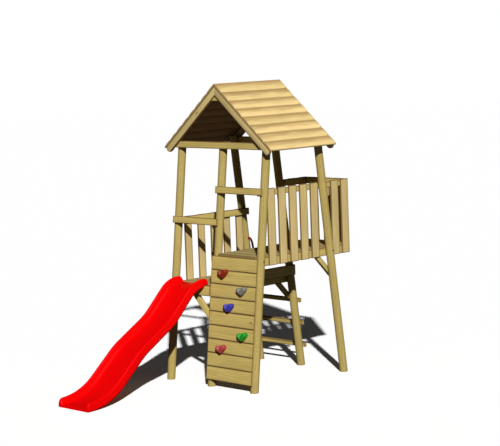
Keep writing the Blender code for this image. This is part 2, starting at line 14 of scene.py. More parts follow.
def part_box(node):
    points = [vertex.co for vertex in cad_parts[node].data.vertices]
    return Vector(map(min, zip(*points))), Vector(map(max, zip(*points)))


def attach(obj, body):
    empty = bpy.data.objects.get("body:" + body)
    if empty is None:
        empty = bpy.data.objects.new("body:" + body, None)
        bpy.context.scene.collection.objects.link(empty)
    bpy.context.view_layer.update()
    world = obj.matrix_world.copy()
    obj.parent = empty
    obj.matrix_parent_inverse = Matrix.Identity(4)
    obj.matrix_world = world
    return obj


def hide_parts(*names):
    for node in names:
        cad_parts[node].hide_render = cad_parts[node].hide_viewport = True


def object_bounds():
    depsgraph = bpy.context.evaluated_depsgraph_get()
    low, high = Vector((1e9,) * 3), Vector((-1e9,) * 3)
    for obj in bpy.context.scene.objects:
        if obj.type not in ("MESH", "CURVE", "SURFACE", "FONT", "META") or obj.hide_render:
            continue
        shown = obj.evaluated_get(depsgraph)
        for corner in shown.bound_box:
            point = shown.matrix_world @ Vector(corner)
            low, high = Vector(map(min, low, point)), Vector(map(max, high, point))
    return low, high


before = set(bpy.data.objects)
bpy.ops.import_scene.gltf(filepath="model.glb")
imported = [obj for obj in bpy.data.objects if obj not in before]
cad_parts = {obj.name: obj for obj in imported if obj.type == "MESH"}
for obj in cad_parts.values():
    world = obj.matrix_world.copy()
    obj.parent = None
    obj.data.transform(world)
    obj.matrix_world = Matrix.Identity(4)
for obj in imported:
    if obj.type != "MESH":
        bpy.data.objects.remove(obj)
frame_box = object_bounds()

bl_info = {
    "name": "Stilt playhouse",
    "version": (1, 0, 0),
    "blender": (4, 5, 0),
    "location": "View3D > Sidebar > Playhouse",
    "description": "Dresses a timber play tower with wood grain, fixings and a moulded slide",
    "category": "Object",
}

BODY = "root"

# The posts, which everything else is fixed to
POST_LEAN = 0.121               # metres inwards for each metre that a post rises
POST_RADIUS = 0.048
POST_CHAMFER = 0.0035
TOUCH = 0.0003                  # gap between pieces that touch
LEAN_ANGLE = atan(POST_LEAN)
LEAN_STRETCH = hypot(1.0, POST_LEAN)

# Sawn stock: width and thickness
RAIL_STOCK = (0.080, 0.026)
WALL_THICKNESS = 0.020
WALL_GAP = 0.0018               # between climbing boards
RUNG_STOCK = (0.050, 0.036)
TIE_STOCK = (0.080, 0.028)
BEAM_STOCK = (0.095, 0.036)
DECK_STOCK = (0.148, 0.028)
RISER_STOCK = (0.124, 0.028)
SIDE_RAIL_STOCK = (0.064, 0.026)
LEFT_PICKET_STOCK = (0.110, 0.018)
RIGHT_PICKET_STOCK = (0.125, 0.018)
BALCONY_PICKET_STOCK = (0.112, 0.018)
ROOF_STOCK = (0.1393, 0.0257)
FRONT_BOARD_DROP = 0.0005       # keeps the front board's leaning top under the deck's
DECK_SLACK = 0.0004             # how much thinner a deck board is drawn than its stock
PICKET_SLACK = 0.001            # from a picket's end to the end of its fence

# Screws: how far from a board's ends
RAIL_SCREW_INSET = 0.028
WALL_SCREW_INSET = 0.034
RISER_SCREW_INSET = 0.030
PICKET_SCREW_INSET = 0.045
SCREW_SPREAD = 0.5              # between the two at one end, as a share of a board's width
ROOF_SCREW_INSET = 0.025
ROOF_SCREW_ASIDE = 0.22         # from a roof board's middle, as a share of its width
ROOF_SCREW_SPREAD = 0.060       # between the two screws at one end of a roof board
BOLT_DROP = 0.3                 # from a beam's top to its bolt, as a share of its width
BOLT_SINK = 0.0005              # how deep a bolt head's flange sits in the post

# Making of the boards and posts
BOARD_STATIONS = 15             # places along a board or post where its outline is drawn
LOG_STATIONS = 48
LOG_SIDES = 44
END_GATHER = 0.95               # how strongly a post's stations crowd towards its ends
WANDER_SCALE = 4.0              # waves in a face for each metre
WANDER_APART = 19.0             # how far apart the waves of the palest and darkest copies lie
EDGE_LIMIT = 0.3                # most that an edge is rounded, as a share of the thickness
GROWN_END_FACING = 0.9          # how squarely a face looks along the grain to be a sawn end
COPIED_END_FACING = 0.8         # the same for the copies of CAD boards
COPY_MERGE = 0.0001             # corners of a copy that are closer than this become one
COPY_FLAT = radians(2)          # faces of a copy that turn less than this become one
COPY_SHARP = radians(35)        # edges of a copy that turn more than this are rounded
TONE_STEP = 0.618               # between the tones of one copy and the next
LOG_WAVINESS = 1.2              # how much more than a board's faces a post's wander

# Degrees that faces turn at an edge for it to be shaded sharp
WOOD_SHARP = 40
SLIDE_SHARP = 45
HOLD_SHARP = 60
HANDLE_SHARP = 50

# Layout
DECK_GAP = 0.006
SIDE_RAIL_DROP = 0.016          # from a right-hand picket's top to its rail
POSTS_IN_ROW = 3
LEFT_PICKETS = 5
RIGHT_PICKETS = 5
RIGHT_FENCE_SETBACK = 0.035     # from the front post to the first right-hand picket
PICKET_CLEARANCE = 0.007
BALCONY_SIDE_PITCH = 0.185
RIGHT_END_PITCH = 0.172         # between the last two right-hand pickets
BALCONY_BACK_PITCH = 0.192
BALCONY_SIDE_PICKETS = 2
BALCONY_BACK_PICKETS = 3
BALCONY_SIDE = -0.020           # X of the balcony's left-hand face
BALCONY_BACK_SLACK = 0.0012     # from the back of the CAD fence to the boards drawn there

# Roof
ROOF_PITCH = radians(40.1)
ROOF_BOARDS = 8
ROOF_BOARD_STEP = 0.1405
ROOF_CROWN = 0.006
RIDGE_CROWN = 0.3 * ROOF_CROWN
RIDGE_SLACK = 0.0005            # from the ridge to the top of the CAD box

# Slide, from its seat on the lower deck to the ground
SLIDE_TOP_WIDTH = 0.466
SLIDE_FOOT_WIDTH = 0.504
SLIDE_WALL = 0.006
SLIDE_HEIGHT = 0.100
SLIDE_BED_HEIGHT = 0.030
SLIDE_RIM_WIDTH = 0.044
SLIDE_FLANK_WIDTH = 0.030

# Points over the slide's rim and down its inner flank, as shares of width and height
SLIDE_RIM_CURVE = ((0.0, 0.30), (0.07, 0.13), (0.22, 0.035), (0.44, 0.0), (0.70, 0.05),
                   (0.92, 0.20))
SLIDE_FLANK_CURVE = ((0.15, 0.45), (0.55, 0.16), (1.1, 0.03), (2.0, 0.0))

# Along the slide
SLIDE_END_RIM = 0.25            # share of the rim's height that is left at the top end
SLIDE_FOOT_RIM = 0.35           # and at the foot
SLIDE_LAP = 0.046               # how far the slide lies on the deck
SLIDE_SKIRT_RUN = 1.5           # how soon the skirt is full past the deck, in skirt heights
SLIDE_TOP_LENGTH = 0.170
SLIDE_SLOPES = (44.7, 30.5, 41.3)  # of the wave's three runs, in degrees
SLIDE_RUNS = (0.517, 0.552)     # lengths of the first two
SLIDE_FOOT_LENGTH = 0.330
SLIDE_FOOT_RISE = 0.012
SLIDE_TOP_RADIUS = 0.27
SLIDE_WAVE_RADIUS = 0.80
SLIDE_ARC_STEPS = 20
SLIDE_END_ROUND = 0.040
SLIDE_FOOT_ROUND = 0.050
SLIDE_FOOT_DROP = 0.5           # share of its height that the bed loses at the foot's edge
SLIDE_END_STEPS = 10
SLIDE_FOOT_CROWDING = 1.5       # how strongly the steps at the foot crowd towards its edge
SLIDE_RUBBED = (0.90, 0.04, 0.03)

# Climbing holds and grab handles
HOLD_WIDTH = 0.144
HOLD_DEPTH = 0.058
HOLD_TILT = radians(10.0)
HOLD_VALLEY = 0.78              # share of the hold's depth
HOLD_VALLEY_WIDTH = 0.019
HOLD_VALLEY_ASIDE = 0.3         # to the left, in widths of the valley
HOLD_VALLEY_FADE = 0.30         # share of the hold's width in which the valley runs out
HOLD_VALLEY_LEFT = 0.55         # share of its depth that is left at the hold's middle
HOLD_SQUARENESS = 5.0
HOLD_SQUATNESS = 0.73           # height of the heart against that of a plain one
HOLD_BLUNTNESS = 0.45           # how far the heart's foot is rounded towards a circle
HOLD_NOTCH = 0.22               # the notch's depth and width, as shares of the hold's width
HOLD_NOTCH_WIDTH = 0.13
HOLD_NOTCH_ASIDE = 0.02         # to the left, as a share of the hold's width
HOLD_STEPS = 72
HOLD_RINGS = 26
HOLD_SCREW_RISE = 0.0005        # from the dome's top to the foot of its screw's head
HANDLE_LENGTH = 0.270
HANDLE_REACH = 0.060            # from the post's surface to the middle of the bow
HANDLE_FOOT = 0.010             # length of a foot's straight part
HANDLE_RADIUS = 0.013
HANDLE_SQUARENESS = 0.8         # 1 bows it as half an ellipse, less makes its shoulders square
HANDLE_STEPS = 40
HANDLE_RESOLUTION = 6           # of the tube's round section
HANDLE_GAP = 0.002              # from a post's surface to the flat end of a handle
HANDLE_RUBBED = (0.40, 0.03, 0.04)

# Where the photograph was taken from, about the middle of the tower
VIEW_AZIMUTH = radians(45.0)
VIEW_ELEVATION = radians(6.3484)
VIEW_ROLL = radians(-2.0823)
VIEW_DISTANCE = 20.2546
VIEW_AIM_HEIGHT = 1.5
VIEW_ASIDE = -0.037
VIEW_RAISE = 0.3067
FRAME_WIDTH_PX = 500
FOCAL_LENGTH_PX = 1728.866
SENSOR_WIDTH = 36.0
VIEW_CLIP = 200.0

# Floor and light
WHITE = (1, 1, 1, 1)
FLOOR_HALF_WIDTH = 60.0
FLOOR_SEEN = (1.40, 1.40, 1.40)  # what the camera sees of the floor
FLOOR_GLOW = 0.2                # share of the floor's colour that lights the tower


# Properties

def colour_property(name, description, default):
    return FloatVectorProperty(name=name, description=description, subtype="COLOR", min=0.0,
                               max=1.0, default=default)


def length_property(name, description, low, high, default):
    return FloatProperty(name=name, description=description, subtype="DISTANCE", unit="LENGTH",
                         min=low, max=high, default=default)


class PlayhouseTimber(bpy.types.PropertyGroup):
    """Sizes and colours of the wood."""
    log_colour: colour_property("Log", "Colour of the round posts", (0.43, 0.34, 0.102))
    board_colour: colour_property("Board", "Colour of rails, beams and climbing boards",
                                  (0.60, 0.475, 0.142))
    deck_colour: colour_property("Deck", "Colour of the trodden deck boards",
                                 (0.50, 0.41, 0.165))
    picket_colour: colour_property("Picket", "Colour of the upright boards and rafters",
                                   (0.64, 0.50, 0.210))
    roof_colour: colour_property("Roof", "Colour of the roof boards", (0.90, 0.675, 0.290))
    # The stain colour also paints shade in the seams, at the edges and on the narrow sides of the
    # boards
    stain_and_shade_colour: colour_property("Stain", "Colour of late wood, seams and weathered edges",
                                  (0.23, 0.125, 0.035))
    edge_radius: length_property("Edge radius", "Rounding of a sawn board's long edges",
                                 0.0005, 0.008, 0.003)
    waviness: length_property("Waviness", "How far a board's faces wander from flat",
                              0.0, 0.003, 0.0005)


class PlayhousePlastic(bpy.types.PropertyGroup):
    """Colours and finish of the moulded pieces."""
    slide_colour: colour_property("Slide", "Colour of the slide", (0.80, 0.0005, 0.001))
    handle_colour: colour_property("Handle", "Colour of the grab handles", (0.26, 0.006, 0.016))
    slide_roughness: FloatProperty(
        name="Slide roughness", description="Roughness of the slide's plastic",
        subtype="FACTOR", min=0.0, max=1.0, default=0.42)
    brown: colour_property("Brown hold", "Colour of the top climbing hold", (0.24, 0.020, 0.003))
    grey: colour_property("Grey hold", "Colour of the second climbing hold",
                          (0.205, 0.192, 0.160))
    blue: colour_property("Blue hold", "Colour of the third climbing hold",
                          (0.042, 0.038, 0.36))
    green: colour_property("Green hold", "Colour of the fourth climbing hold",
                           (0.014, 0.29, 0.020))
    red: colour_property("Red hold", "Colour of the lowest climbing hold", (0.40, 0.050, 0.052))


class PlayhouseFixings(bpy.types.PropertyGroup):
    """Sizes of the screws and bolts."""
    screw_radius: length_property("Screw head", "Radius of a screw head", 0.002, 0.01, 0.0045)
    bolt_radius: length_property("Bolt head", "Radius of a domed bolt head",
                                 0.005, 0.03, 0.012)
    head_sides: IntProperty(
        name="Sides", description="Sides of a screw or bolt head", min=6, max=24, default=12)


class PlayhouseStage(bpy.types.PropertyGroup):
    """Floor, light and view."""
    floor_colour: colour_property("Floor", "Colour of the plain floor", (0.80, 0.80, 0.80))
    sun_strength: FloatProperty(
        name="Sun", description="Strength of the key light", min=0.0, max=10.0, default=4.2)
    sun_angle: FloatProperty(
        name="Sun softness", description="Angular size of the key light", subtype="ANGLE",
        unit="ROTATION", min=0.0, max=0.6, default=radians(1.2))
    sun_direction: FloatVectorProperty(
        name="Sun direction", description="Way the key light travels", subtype="DIRECTION",
        default=(-1.283, 1.071, -1.0))
    fill_strength: FloatProperty(
        name="Fill", description="Strength of the light from all round", min=0.0, max=2.0,
        default=0.024)


# Geometry and places

def nodes_named(stem):
    return [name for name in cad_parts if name.startswith(stem)]


def node_centre(name):
    low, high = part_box(name)
    return (Vector(low) + Vector(high)) / 2


def node_size(name):
    low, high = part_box(name)
    return Vector(high) - Vector(low)


def tower_middle():
    """Y of the tower's middle plane, halfway between the front and the back posts."""
    return (node_centre("post_front_middle").y + node_centre("post_back_middle").y) / 2


MIDDLE = tower_middle()
POST_SPACING = node_centre("post_front_right").x
POST_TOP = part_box("post_front_left")[1][2]
HALF_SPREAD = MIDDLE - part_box("post_front_left")[0][1] - POST_RADIUS * LEAN_STRETCH
LOWER_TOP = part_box("lower_deck")[1][2]
UPPER_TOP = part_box("upper_deck")[1][2]
LOWER_BEAM_TOP = LOWER_TOP - DECK_STOCK[1]
UPPER_BEAM_TOP = UPPER_TOP - DECK_STOCK[1]
RAIL_FACE = POST_SPACING - POST_RADIUS - TOUCH
PICKET_FACE = RAIL_FACE - TOUCH
BEAM_FACE = PICKET_FACE - TOUCH
INNER_FACE = POST_RADIUS + TOUCH


def post_y(z):
    """Distance of a post's axis from the tower's middle plane at height z."""
    return HALF_SPREAD - POST_LEAN * z


def lean_offset(distance):
    return distance * LEAN_STRETCH


def place(centre, along, out):
    """Matrix of a board: X along its grain, Z out of its face."""
    along = Vector(along).normalized()
    out = Vector(out).normalized()
    across = out.cross(along)
    made = Matrix((along, across, out)).transposed().to_4x4()
    made.translation = Vector(centre)
    return made


def leaning(side):
    """Outward normal of the posts' front (-1) or back (1)."""
    return Vector((0.0, side * cos(LEAN_ANGLE), sin(LEAN_ANGLE)))


class Graph:
    """Adds nodes to a tree and links them."""

    def __init__(self, tree):
        self.tree = tree

    def add(self, kind, inputs=None, **settings):
        made = self.tree.nodes.new(kind)
        for name, value in settings.items():
            setattr(made, name, value)
        for key, value in (inputs or {}).items():
            if isinstance(value, bpy.types.NodeSocket):
                self.tree.links.new(value, made.inputs[key])
            else:
                made.inputs[key].default_value = value
        return made

    def first(self, kind, inputs=None, **settings):
        """First output of a new node."""
        return self.add(kind, inputs, **settings).outputs[0]

    def math(self, operation, *values):
        return self.first("ShaderNodeMath", dict(enumerate(values)), operation=operation)

    def plus(self, first, second):
        return self.math("ADD", first, second)

    def minus(self, first, second):
        return self.math("SUBTRACT", first, second)

    def times(self, first, second):
        return self.math("MULTIPLY", first, second)

    def vector(self, operation, *values):
        return self.first("ShaderNodeVectorMath", dict(enumerate(values)), operation=operation)

    def combine(self, x=0.0, y=0.0, z=0.0):
        return self.first("ShaderNodeCombineXYZ", {0: x, 1: y, 2: z})

    def split(self, vector):
        return list(self.add("ShaderNodeSeparateXYZ", {0: vector}).outputs)

    def ramp(self, value, low, high, start=0.0, end=1.0):
        """Smooth step of value from low to high, given out from start to end."""
        return self.first("ShaderNodeMapRange", {0: value, 1: low, 2: high, 3: start, 4: end},
                          interpolation_type="SMOOTHSTEP")

    def mix(self, factor, first, second, blend="MIX"):
        return self.add("ShaderNodeMix", {0: factor, 6: first, 7: second}, data_type="RGBA",
                        blend_type=blend).outputs[2]

    def attribute(self, name, output="Fac"):
        return self.add("ShaderNodeAttribute", attribute_name=name).outputs[output]

    def own_place(self):
        return self.add("ShaderNodeTexCoord").outputs["Object"]

    def noise(self, where, detail, scale=1.0):
        return self.add("ShaderNodeTexNoise", {"Vector": where, "Scale": scale,
                                               "Detail": detail}).outputs["Fac"]

    def stretched_noise(self, where, stretch, detail):
        """Noise on the place times a vector, so that it draws out where that is small."""
        return self.noise(self.vector("MULTIPLY", where, stretch), detail)

    def wobble(self, noise, amount):
        """Noise moved to lie about zero, and scaled."""
        return self.times(self.minus(noise, 0.5), amount)

    def wave(self, phase, half_height):
        """Sine of the phase, raised to start from zero."""
        return self.times(self.plus(self.math("SINE", phase), 1.0), half_height)

    def link(self, value, socket):
        self.tree.links.new(value, socket)

    def choose_for_camera(self, other, seen, output):
        """Show one shader to the camera and another one to every other ray."""
        camera_ray = self.add("ShaderNodeLightPath").outputs["Is Camera Ray"]
        either = self.first("ShaderNodeMixShader", {0: camera_ray, 1: other.outputs[0],
                                                    2: seen.outputs[0]})
        self.link(either, self.tree.nodes[output].inputs["Surface"])


def geometry_tree(name, numbers, others=()):
    """Tree with the named inputs and those of every row; returns its graph, inputs and output."""
    tree = bpy.data.node_groups.new(name, "GeometryNodeTree")
    inputs = [("Geometry", "Geometry"), *((label, "Float") for label in numbers), *others,
              ("Count", "Int"), ("Step", "Vector"), ("Seed", "Int"), ("Location", "Vector"),
              ("Rotation", "Vector"), ("Material", "Material")]
    for label, kind in inputs:
        tree.interface.new_socket(name=label, in_out="INPUT", socket_type="NodeSocket" + kind)
    tree.interface.new_socket(name="Geometry", in_out="OUTPUT", socket_type="NodeSocketGeometry")
    graph = Graph(tree)
    source = graph.add("NodeGroupInput").outputs
    target = graph.add("NodeGroupOutput").inputs[0]
    return graph, source, target


def store(graph, geometry, name, value, kind="FLOAT", domain="POINT"):
    return graph.first("GeometryNodeStoreNamedAttribute",
                       {"Geometry": geometry, "Name": name, "Value": value},
                       data_type=kind, domain=domain)


def shift(graph, geometry, offset):
    return graph.first("GeometryNodeSetPosition", {"Geometry": geometry, "Offset": offset})


def repeated(graph, source, geometry):
    """Repeat a piece along a line, and give each copy its own tone."""
    line = graph.first("GeometryNodeMeshLine", {"Count": source["Count"],
                                                "Offset": source["Step"]}, mode="OFFSET")
    copies = graph.first("GeometryNodeInstanceOnPoints", {"Points": line, "Instance": geometry})
    index = graph.first("GeometryNodeInputIndex")
    tone = graph.add("FunctionNodeRandomValue", {"ID": index, "Seed": source["Seed"]},
                     data_type="FLOAT").outputs[1]
    toned = store(graph, copies, "tone", tone, domain="INSTANCE")
    return graph.first("GeometryNodeRealizeInstances", {0: toned})


def mark_ends(graph, geometry, axis):
    """Mark the faces that look along the axis as sawn ends."""
    normal = graph.first("GeometryNodeInputNormal")
    facing = graph.math("ABSOLUTE", graph.split(normal)[axis])
    return store(graph, geometry, "end", graph.math("GREATER_THAN", facing, GROWN_END_FACING),
                 domain="FACE")


def wander(graph, geometry, amount):
    """Move the surface a little by noise that differs from copy to copy."""
    tone, board = [graph.first("GeometryNodeInputNamedAttribute", {"Name": name}, data_type=kind)
                   for name, kind in (("tone", "FLOAT"), ("board", "FLOAT_VECTOR"))]
    apart = graph.times(tone, WANDER_APART)
    where = graph.vector("ADD", board, graph.combine(apart, apart, apart))
    noise = graph.add("ShaderNodeTexNoise", {"Vector": where, "Scale": WANDER_SCALE,
                                             "Detail": 2.0}).outputs["Color"]
    centred = graph.vector("SUBTRACT", noise, (0.5, 0.5, 0.5))
    return shift(graph, geometry, graph.first("ShaderNodeVectorMath",
                                              {0: centred, "Scale": amount}, operation="SCALE"))


def put_in_place(graph, source, geometry, target):
    """Turn and move the row, give it its material, and hand it to the tree's output."""
    turn = graph.first("FunctionNodeEulerToRotation", {0: source["Rotation"]})
    moved = graph.first("GeometryNodeTransform", {"Geometry": geometry, "Rotation": turn,
                                                  "Translation": source["Location"]})
    graph.link(graph.first("GeometryNodeSetMaterial", {"Geometry": moved,
                                                       "Material": source["Material"]}), target)


def board_tree():
    """Tree that makes a row of sawn boards with rounded long edges."""
    graph, source, target = geometry_tree("Row of sawn boards", (
        "Length", "Width", "Thickness", "Edge", "Crown", "Waviness"))
    half_length, half_width, half_thickness = [graph.times(source[side], 0.5)
                                               for side in ("Length", "Width", "Thickness")]
    line = graph.first("GeometryNodeCurvePrimitiveLine",
                       {"Start": graph.combine(graph.times(half_length, -1.0)),
                        "End": graph.combine(half_length)})
    spaced = graph.first("GeometryNodeResampleCurve", {"Curve": line, "Count": BOARD_STATIONS})
    profile = graph.first("GeometryNodeCurvePrimitiveQuadrilateral",
                          {"Width": source["Width"], "Height": source["Thickness"]})
    rounded = graph.first("GeometryNodeFilletCurve", {"Curve": profile, "Count": 2,
                                                      "Radius": source["Edge"]}, mode="POLY")
    divided = graph.first("GeometryNodeSubdivideCurve", {"Curve": rounded, "Cuts": 3})
    swept = graph.first("GeometryNodeCurveToMesh", {"Curve": spaced, "Profile Curve": divided,
                                                    "Fill Caps": True})
    position = graph.first("GeometryNodeInputPosition")
    across, height = graph.split(position)[1:]
    share = graph.math("DIVIDE", across, half_width)
    falling = graph.times(graph.math("POWER", share, 2.0), source["Crown"])
    on_face = graph.math("GREATER_THAN", height, 0.0)
    sunk = graph.combine(z=graph.times(graph.times(falling, on_face), -1.0))
    marked = store(graph, shift(graph, swept, sunk), "board", position, "FLOAT_VECTOR")
    half = graph.combine(half_length, half_width, half_thickness)
    marked = mark_ends(graph, store(graph, marked, "half", half, "FLOAT_VECTOR"), 0)
    row = wander(graph, repeated(graph, source, marked), source["Waviness"])
    put_in_place(graph, source, row, target)
    return graph.tree


def log_tree():
    """Tree that makes a row of round leaning posts with level ends."""
    graph, source, target = geometry_tree("Row of round posts", (
        "Height", "Radius", "Chamfer", "Lean", "Waviness"))
    line = graph.first("GeometryNodeCurvePrimitiveLine",
                       {"Start": (0.0, 0.0, 0.0), "End": graph.combine(z=source["Height"])})
    spaced = graph.first("GeometryNodeResampleCurve", {"Curve": line, "Count": LOG_STATIONS})
    along = graph.add("GeometryNodeSplineParameter").outputs["Factor"]
    wave = graph.math("SINE", graph.times(along, 2 * pi))
    drawn = graph.times(graph.times(wave, source["Height"]), -END_GATHER / (2 * pi))
    gathered = shift(graph, spaced, graph.combine(z=drawn))
    ends = graph.first("GeometryNodeCurveEndpointSelection", {0: 1, 1: 1})
    cut = graph.math("DIVIDE", source["Chamfer"], source["Radius"])
    circle = graph.first("GeometryNodeCurvePrimitiveCircle",
                         {"Resolution": LOG_SIDES, "Radius": source["Radius"]})
    swept = graph.first("GeometryNodeCurveToMesh", {
        "Curve": gathered, "Profile Curve": circle, "Fill Caps": True,
        "Scale": graph.minus(1.0, graph.times(ends, cut))})
    x, y, z = graph.split(graph.first("GeometryNodeInputPosition"))
    marked = store(graph, swept, "board", graph.combine(z, x, y), "FLOAT_VECTOR")
    row = repeated(graph, source, mark_ends(graph, marked, 2))
    row = wander(graph, row, source["Waviness"])
    clipped = graph.math("MINIMUM", graph.math("MAXIMUM", z, 0.0), source["Height"])
    shear = graph.combine(0.0, graph.times(z, source["Lean"]), graph.minus(clipped, z))
    put_in_place(graph, source, shift(graph, row, shear), target)
    return graph.tree


def head_tree():
    """Tree that puts screw or bolt heads on each board of a row."""
    graph, source, target = geometry_tree("Heads on a row", ("Reach", "Spread"), (
        ("Head", "Object"), ("Columns", "Int"), ("Rows", "Int")))
    head = graph.add("GeometryNodeObjectInfo", {0: source["Head"]}).outputs["Geometry"]
    grid = graph.first("GeometryNodeMeshGrid", {
        "Size X": source["Reach"], "Size Y": source["Spread"],
        "Vertices X": source["Columns"], "Vertices Y": source["Rows"]})
    index = graph.first("GeometryNodeInputIndex")
    turn = graph.add("FunctionNodeRandomValue", {2: 0.0, 3: pi, "ID": index,
                                                 "Seed": source["Seed"]}, data_type="FLOAT")
    euler = graph.first("FunctionNodeEulerToRotation", {0: graph.combine(z=turn.outputs[1])})
    turned = graph.first("GeometryNodeInstanceOnPoints", {"Points": grid, "Instance": head,
                                                          "Rotation": euler})
    real = graph.first("GeometryNodeRealizeInstances", {0: turned})
    put_in_place(graph, source, repeated(graph, source, real), target)
    return graph.tree


def in_scene(name, data):
    """New object in the scene that holds a mesh, curve, lamp or camera."""
    made = bpy.data.objects.new(name, data)
    bpy.context.scene.collection.objects.link(made)
    return made


trees = {}


def grown(tree_maker, name, **values):
    """Object at the origin that holds what a node tree makes from the named values."""
    if tree_maker not in trees:
        trees[tree_maker] = tree_maker()
    tree = trees[tree_maker]
    carrier = in_scene(name, bpy.data.meshes.new(name))
    modifier = carrier.modifiers.new("grown", "NODES")
    modifier.node_group = tree
    sockets = {item.name: item.identifier for item in tree.interface.items_tree
               if item.in_out == "INPUT"}
    for label, value in values.items():
        modifier[sockets[label.replace("_", " ").capitalize()]] = value
    graph = bpy.context.evaluated_depsgraph_get()
    mesh = bpy.data.meshes.new_from_object(carrier.evaluated_get(graph),
                                           preserve_all_data_layers=True, depsgraph=graph)
    carrier.modifiers.clear()
    carrier.data = mesh
    mesh.set_sharp_from_angle(angle=radians(WOOD_SHARP))
    return carrier


def row_values(where, count, step, seed, material):
    """Values of the inputs that every row tree has; step is in world axes."""
    local = where.to_3x3().inverted() @ Vector(step)
    return {"count": count, "step": tuple(local), "seed": seed, "material": material,
            "location": tuple(where.translation), "rotation": tuple(where.to_euler())}


def boards(length, stock, where, seed, kind="board", count=1, step=(0, 0, 0), crown=0.0):
    """A row of sawn boards of one size and one kind of wood."""
    timber = bpy.context.scene.playhouse_timber
    width, thickness = stock
    return grown(board_tree, "boards", length=length, width=width, thickness=thickness,
                 edge=min(timber.edge_radius, EDGE_LIMIT * thickness), crown=crown,
                 waviness=timber.waviness, **row_values(where, count, step, seed, wood(kind)))


def heads(head, where, reach, spread, columns=2, rows=2, count=1, step=(0, 0, 0), seed=0):
    """Screw or bolt heads in a grid on each board of a row."""
    return grown(head_tree, "heads", head=head, reach=reach, spread=spread, columns=columns,
                 rows=rows, **row_values(where, count, step, seed, zinc()))


def joined(name, parts):
    """One object from several, with their attributes and materials."""
    first = parts[0]
    if len(parts) > 1:
        with bpy.context.temp_override(active_object=first, selected_editable_objects=parts,
                                       selected_objects=parts, object=first):
            bpy.ops.object.join()
    first.name = name
    first.data.name = name
    return first


def keep(piece, slot, *nodes):
    """Hand a finished piece to the frame."""
    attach(piece, BODY)
    if nodes:
        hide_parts(*nodes)


def keep_rows(name, slot, nodes, screws_name, rows, plain=()):
    """Hand over the boards of (boards, screws) rows, after plain boards, and the screws."""
    keep(joined(name, [*plain, *(made for made, fixed in rows)]), slot, *nodes)
    keep(joined(screws_name, [fixed for made, fixed in rows]), "zinc_steel")


def mesh_from(bm, name):
    mesh = bpy.data.meshes.new(name)
    bm.to_mesh(mesh)
    bm.free()
    return mesh


def bridge(bm, rings):
    """Faces between each closed ring of vertices and the next."""
    for near, far in zip(rings, rings[1:]):
        for i in range(len(near)):
            j = (i + 1) % len(near)
            bm.faces.new((near[i], near[j], far[j], far[i]))


def close_with_point(bm, ring, tip):
    for i in range(len(ring)):
        bm.faces.new((ring[i], ring[(i + 1) % len(ring)], tip))


def store_values(mesh, name, values, kind="FLOAT", domain="POINT"):
    field = "vector" if kind == "FLOAT_VECTOR" else "value"
    mesh.attributes.new(name, kind, domain).data.foreach_set(field, values)


def shown(name, mesh, material, sharp_degrees):
    """Object in the scene, smooth but for the edges that are sharper than the angle."""
    mesh.shade_smooth()
    mesh.set_sharp_from_angle(angle=radians(sharp_degrees))
    mesh.materials.append(material)
    return in_scene(name, mesh)


def sawn_copy(node, along, seed, kind="board"):
    """Copy of a CAD board with rounded edges and the attributes that the wood grain reads."""
    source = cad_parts[node]
    bm = bmesh.new()
    bm.from_mesh(source.data)
    bm.transform(source.matrix_world)
    bmesh.ops.remove_doubles(bm, verts=bm.verts, dist=COPY_MERGE)
    bmesh.ops.dissolve_limit(bm, angle_limit=COPY_FLAT, verts=bm.verts, edges=bm.edges)
    sharp = [e for e in bm.edges if len(e.link_faces) == 2 and e.calc_face_angle() > COPY_SHARP]
    radius = bpy.context.scene.playhouse_timber.edge_radius
    bmesh.ops.bevel(bm, geom=sharp, offset=radius, segments=2, profile=0.5, affect="EDGES",
                    clamp_overlap=True)
    bmesh.ops.triangulate(bm, faces=[f for f in bm.faces if len(f.verts) > 4])
    bmesh.ops.recalc_face_normals(bm, faces=bm.faces)
    mesh = mesh_from(bm, node + "_sawn")
    along = Vector(along).normalized()
    out = Vector((0, -1, 0)) if abs(along.y) < 0.5 else Vector((1, 0, 0))
    out = (out - along * out.dot(along)).normalized()
    across = out.cross(along)
    local = [Vector((v.co.dot(along), v.co.dot(across), v.co.dot(out))) for v in mesh.vertices]
    low = Vector([min(p[i] for p in local) for i in range(3)])
    high = Vector([max(p[i] for p in local) for i in range(3)])
    centre = (low + high) / 2
    half = (high - low) / 2
    count = len(local)
    store_values(mesh, "board", [c for p in local for c in (p - centre)], "FLOAT_VECTOR")
    store_values(mesh, "half", [*half] * count, "FLOAT_VECTOR")
    store_values(mesh, "tone", [seed * TONE_STEP % 1.0] * count)
    ends = [float(abs(f.normal.dot(along)) > COPIED_END_FACING) for f in mesh.polygons]
    store_values(mesh, "end", ends, domain="FACE")
    return shown(node + "_sawn", mesh, wood(kind), WOOD_SHARP)


# Materials

CHECK_ANGLE = 0.80              # where a log's long drying check runs, clockwise from its X
LOG_RINGS = 0.004               # between the growth rings on a log's end
BOARD_RINGS = 0.0006            # the same on a board's end, in square metres about the pith
BOARD_PITH = (0.03, 0.05)       # how far the pith lies outside a board's middle
# Colours of the painted shade on roof boards: a band to one side of each board, and its underside
PAINTED_BAND_SHADE_COLOUR = (0.45, 0.28, 0.105)
PAINTED_UNDERSIDE_SHADE_COLOUR = (0.16, 0.085, 0.03)

TONE_APART = (37.0, 17.0, 53.0)  # how far apart the grain of the palest and darkest boards lies

# How often the noises in timber repeat for each metre along, across and through a board
DRIFT_STRETCH = (1.3, 8.0, 8.0)
FIBRE_STRETCH = (7.0, 420.0, 420.0)
KNOT_STRETCH = (1.7, 5.5, 5.5)
PATCH_STRETCH = (3.0, 14.0, 14.0)
SNAKE_STRETCH = (1.6, 0.0, 0.0)
BREAK_STRETCH = (24.0, 0.0, 0.0)
HAIR_STRETCH = (1.4, 60.0, 60.0)
RIPPLE_STRETCH = (4.0, 34.0, 34.0)


def new_material(name):
    made = bpy.data.materials.new(name)
    made.use_nodes = True
    graph = Graph(made.node_tree)
    return made, graph, made.node_tree.nodes["Principled BSDF"]


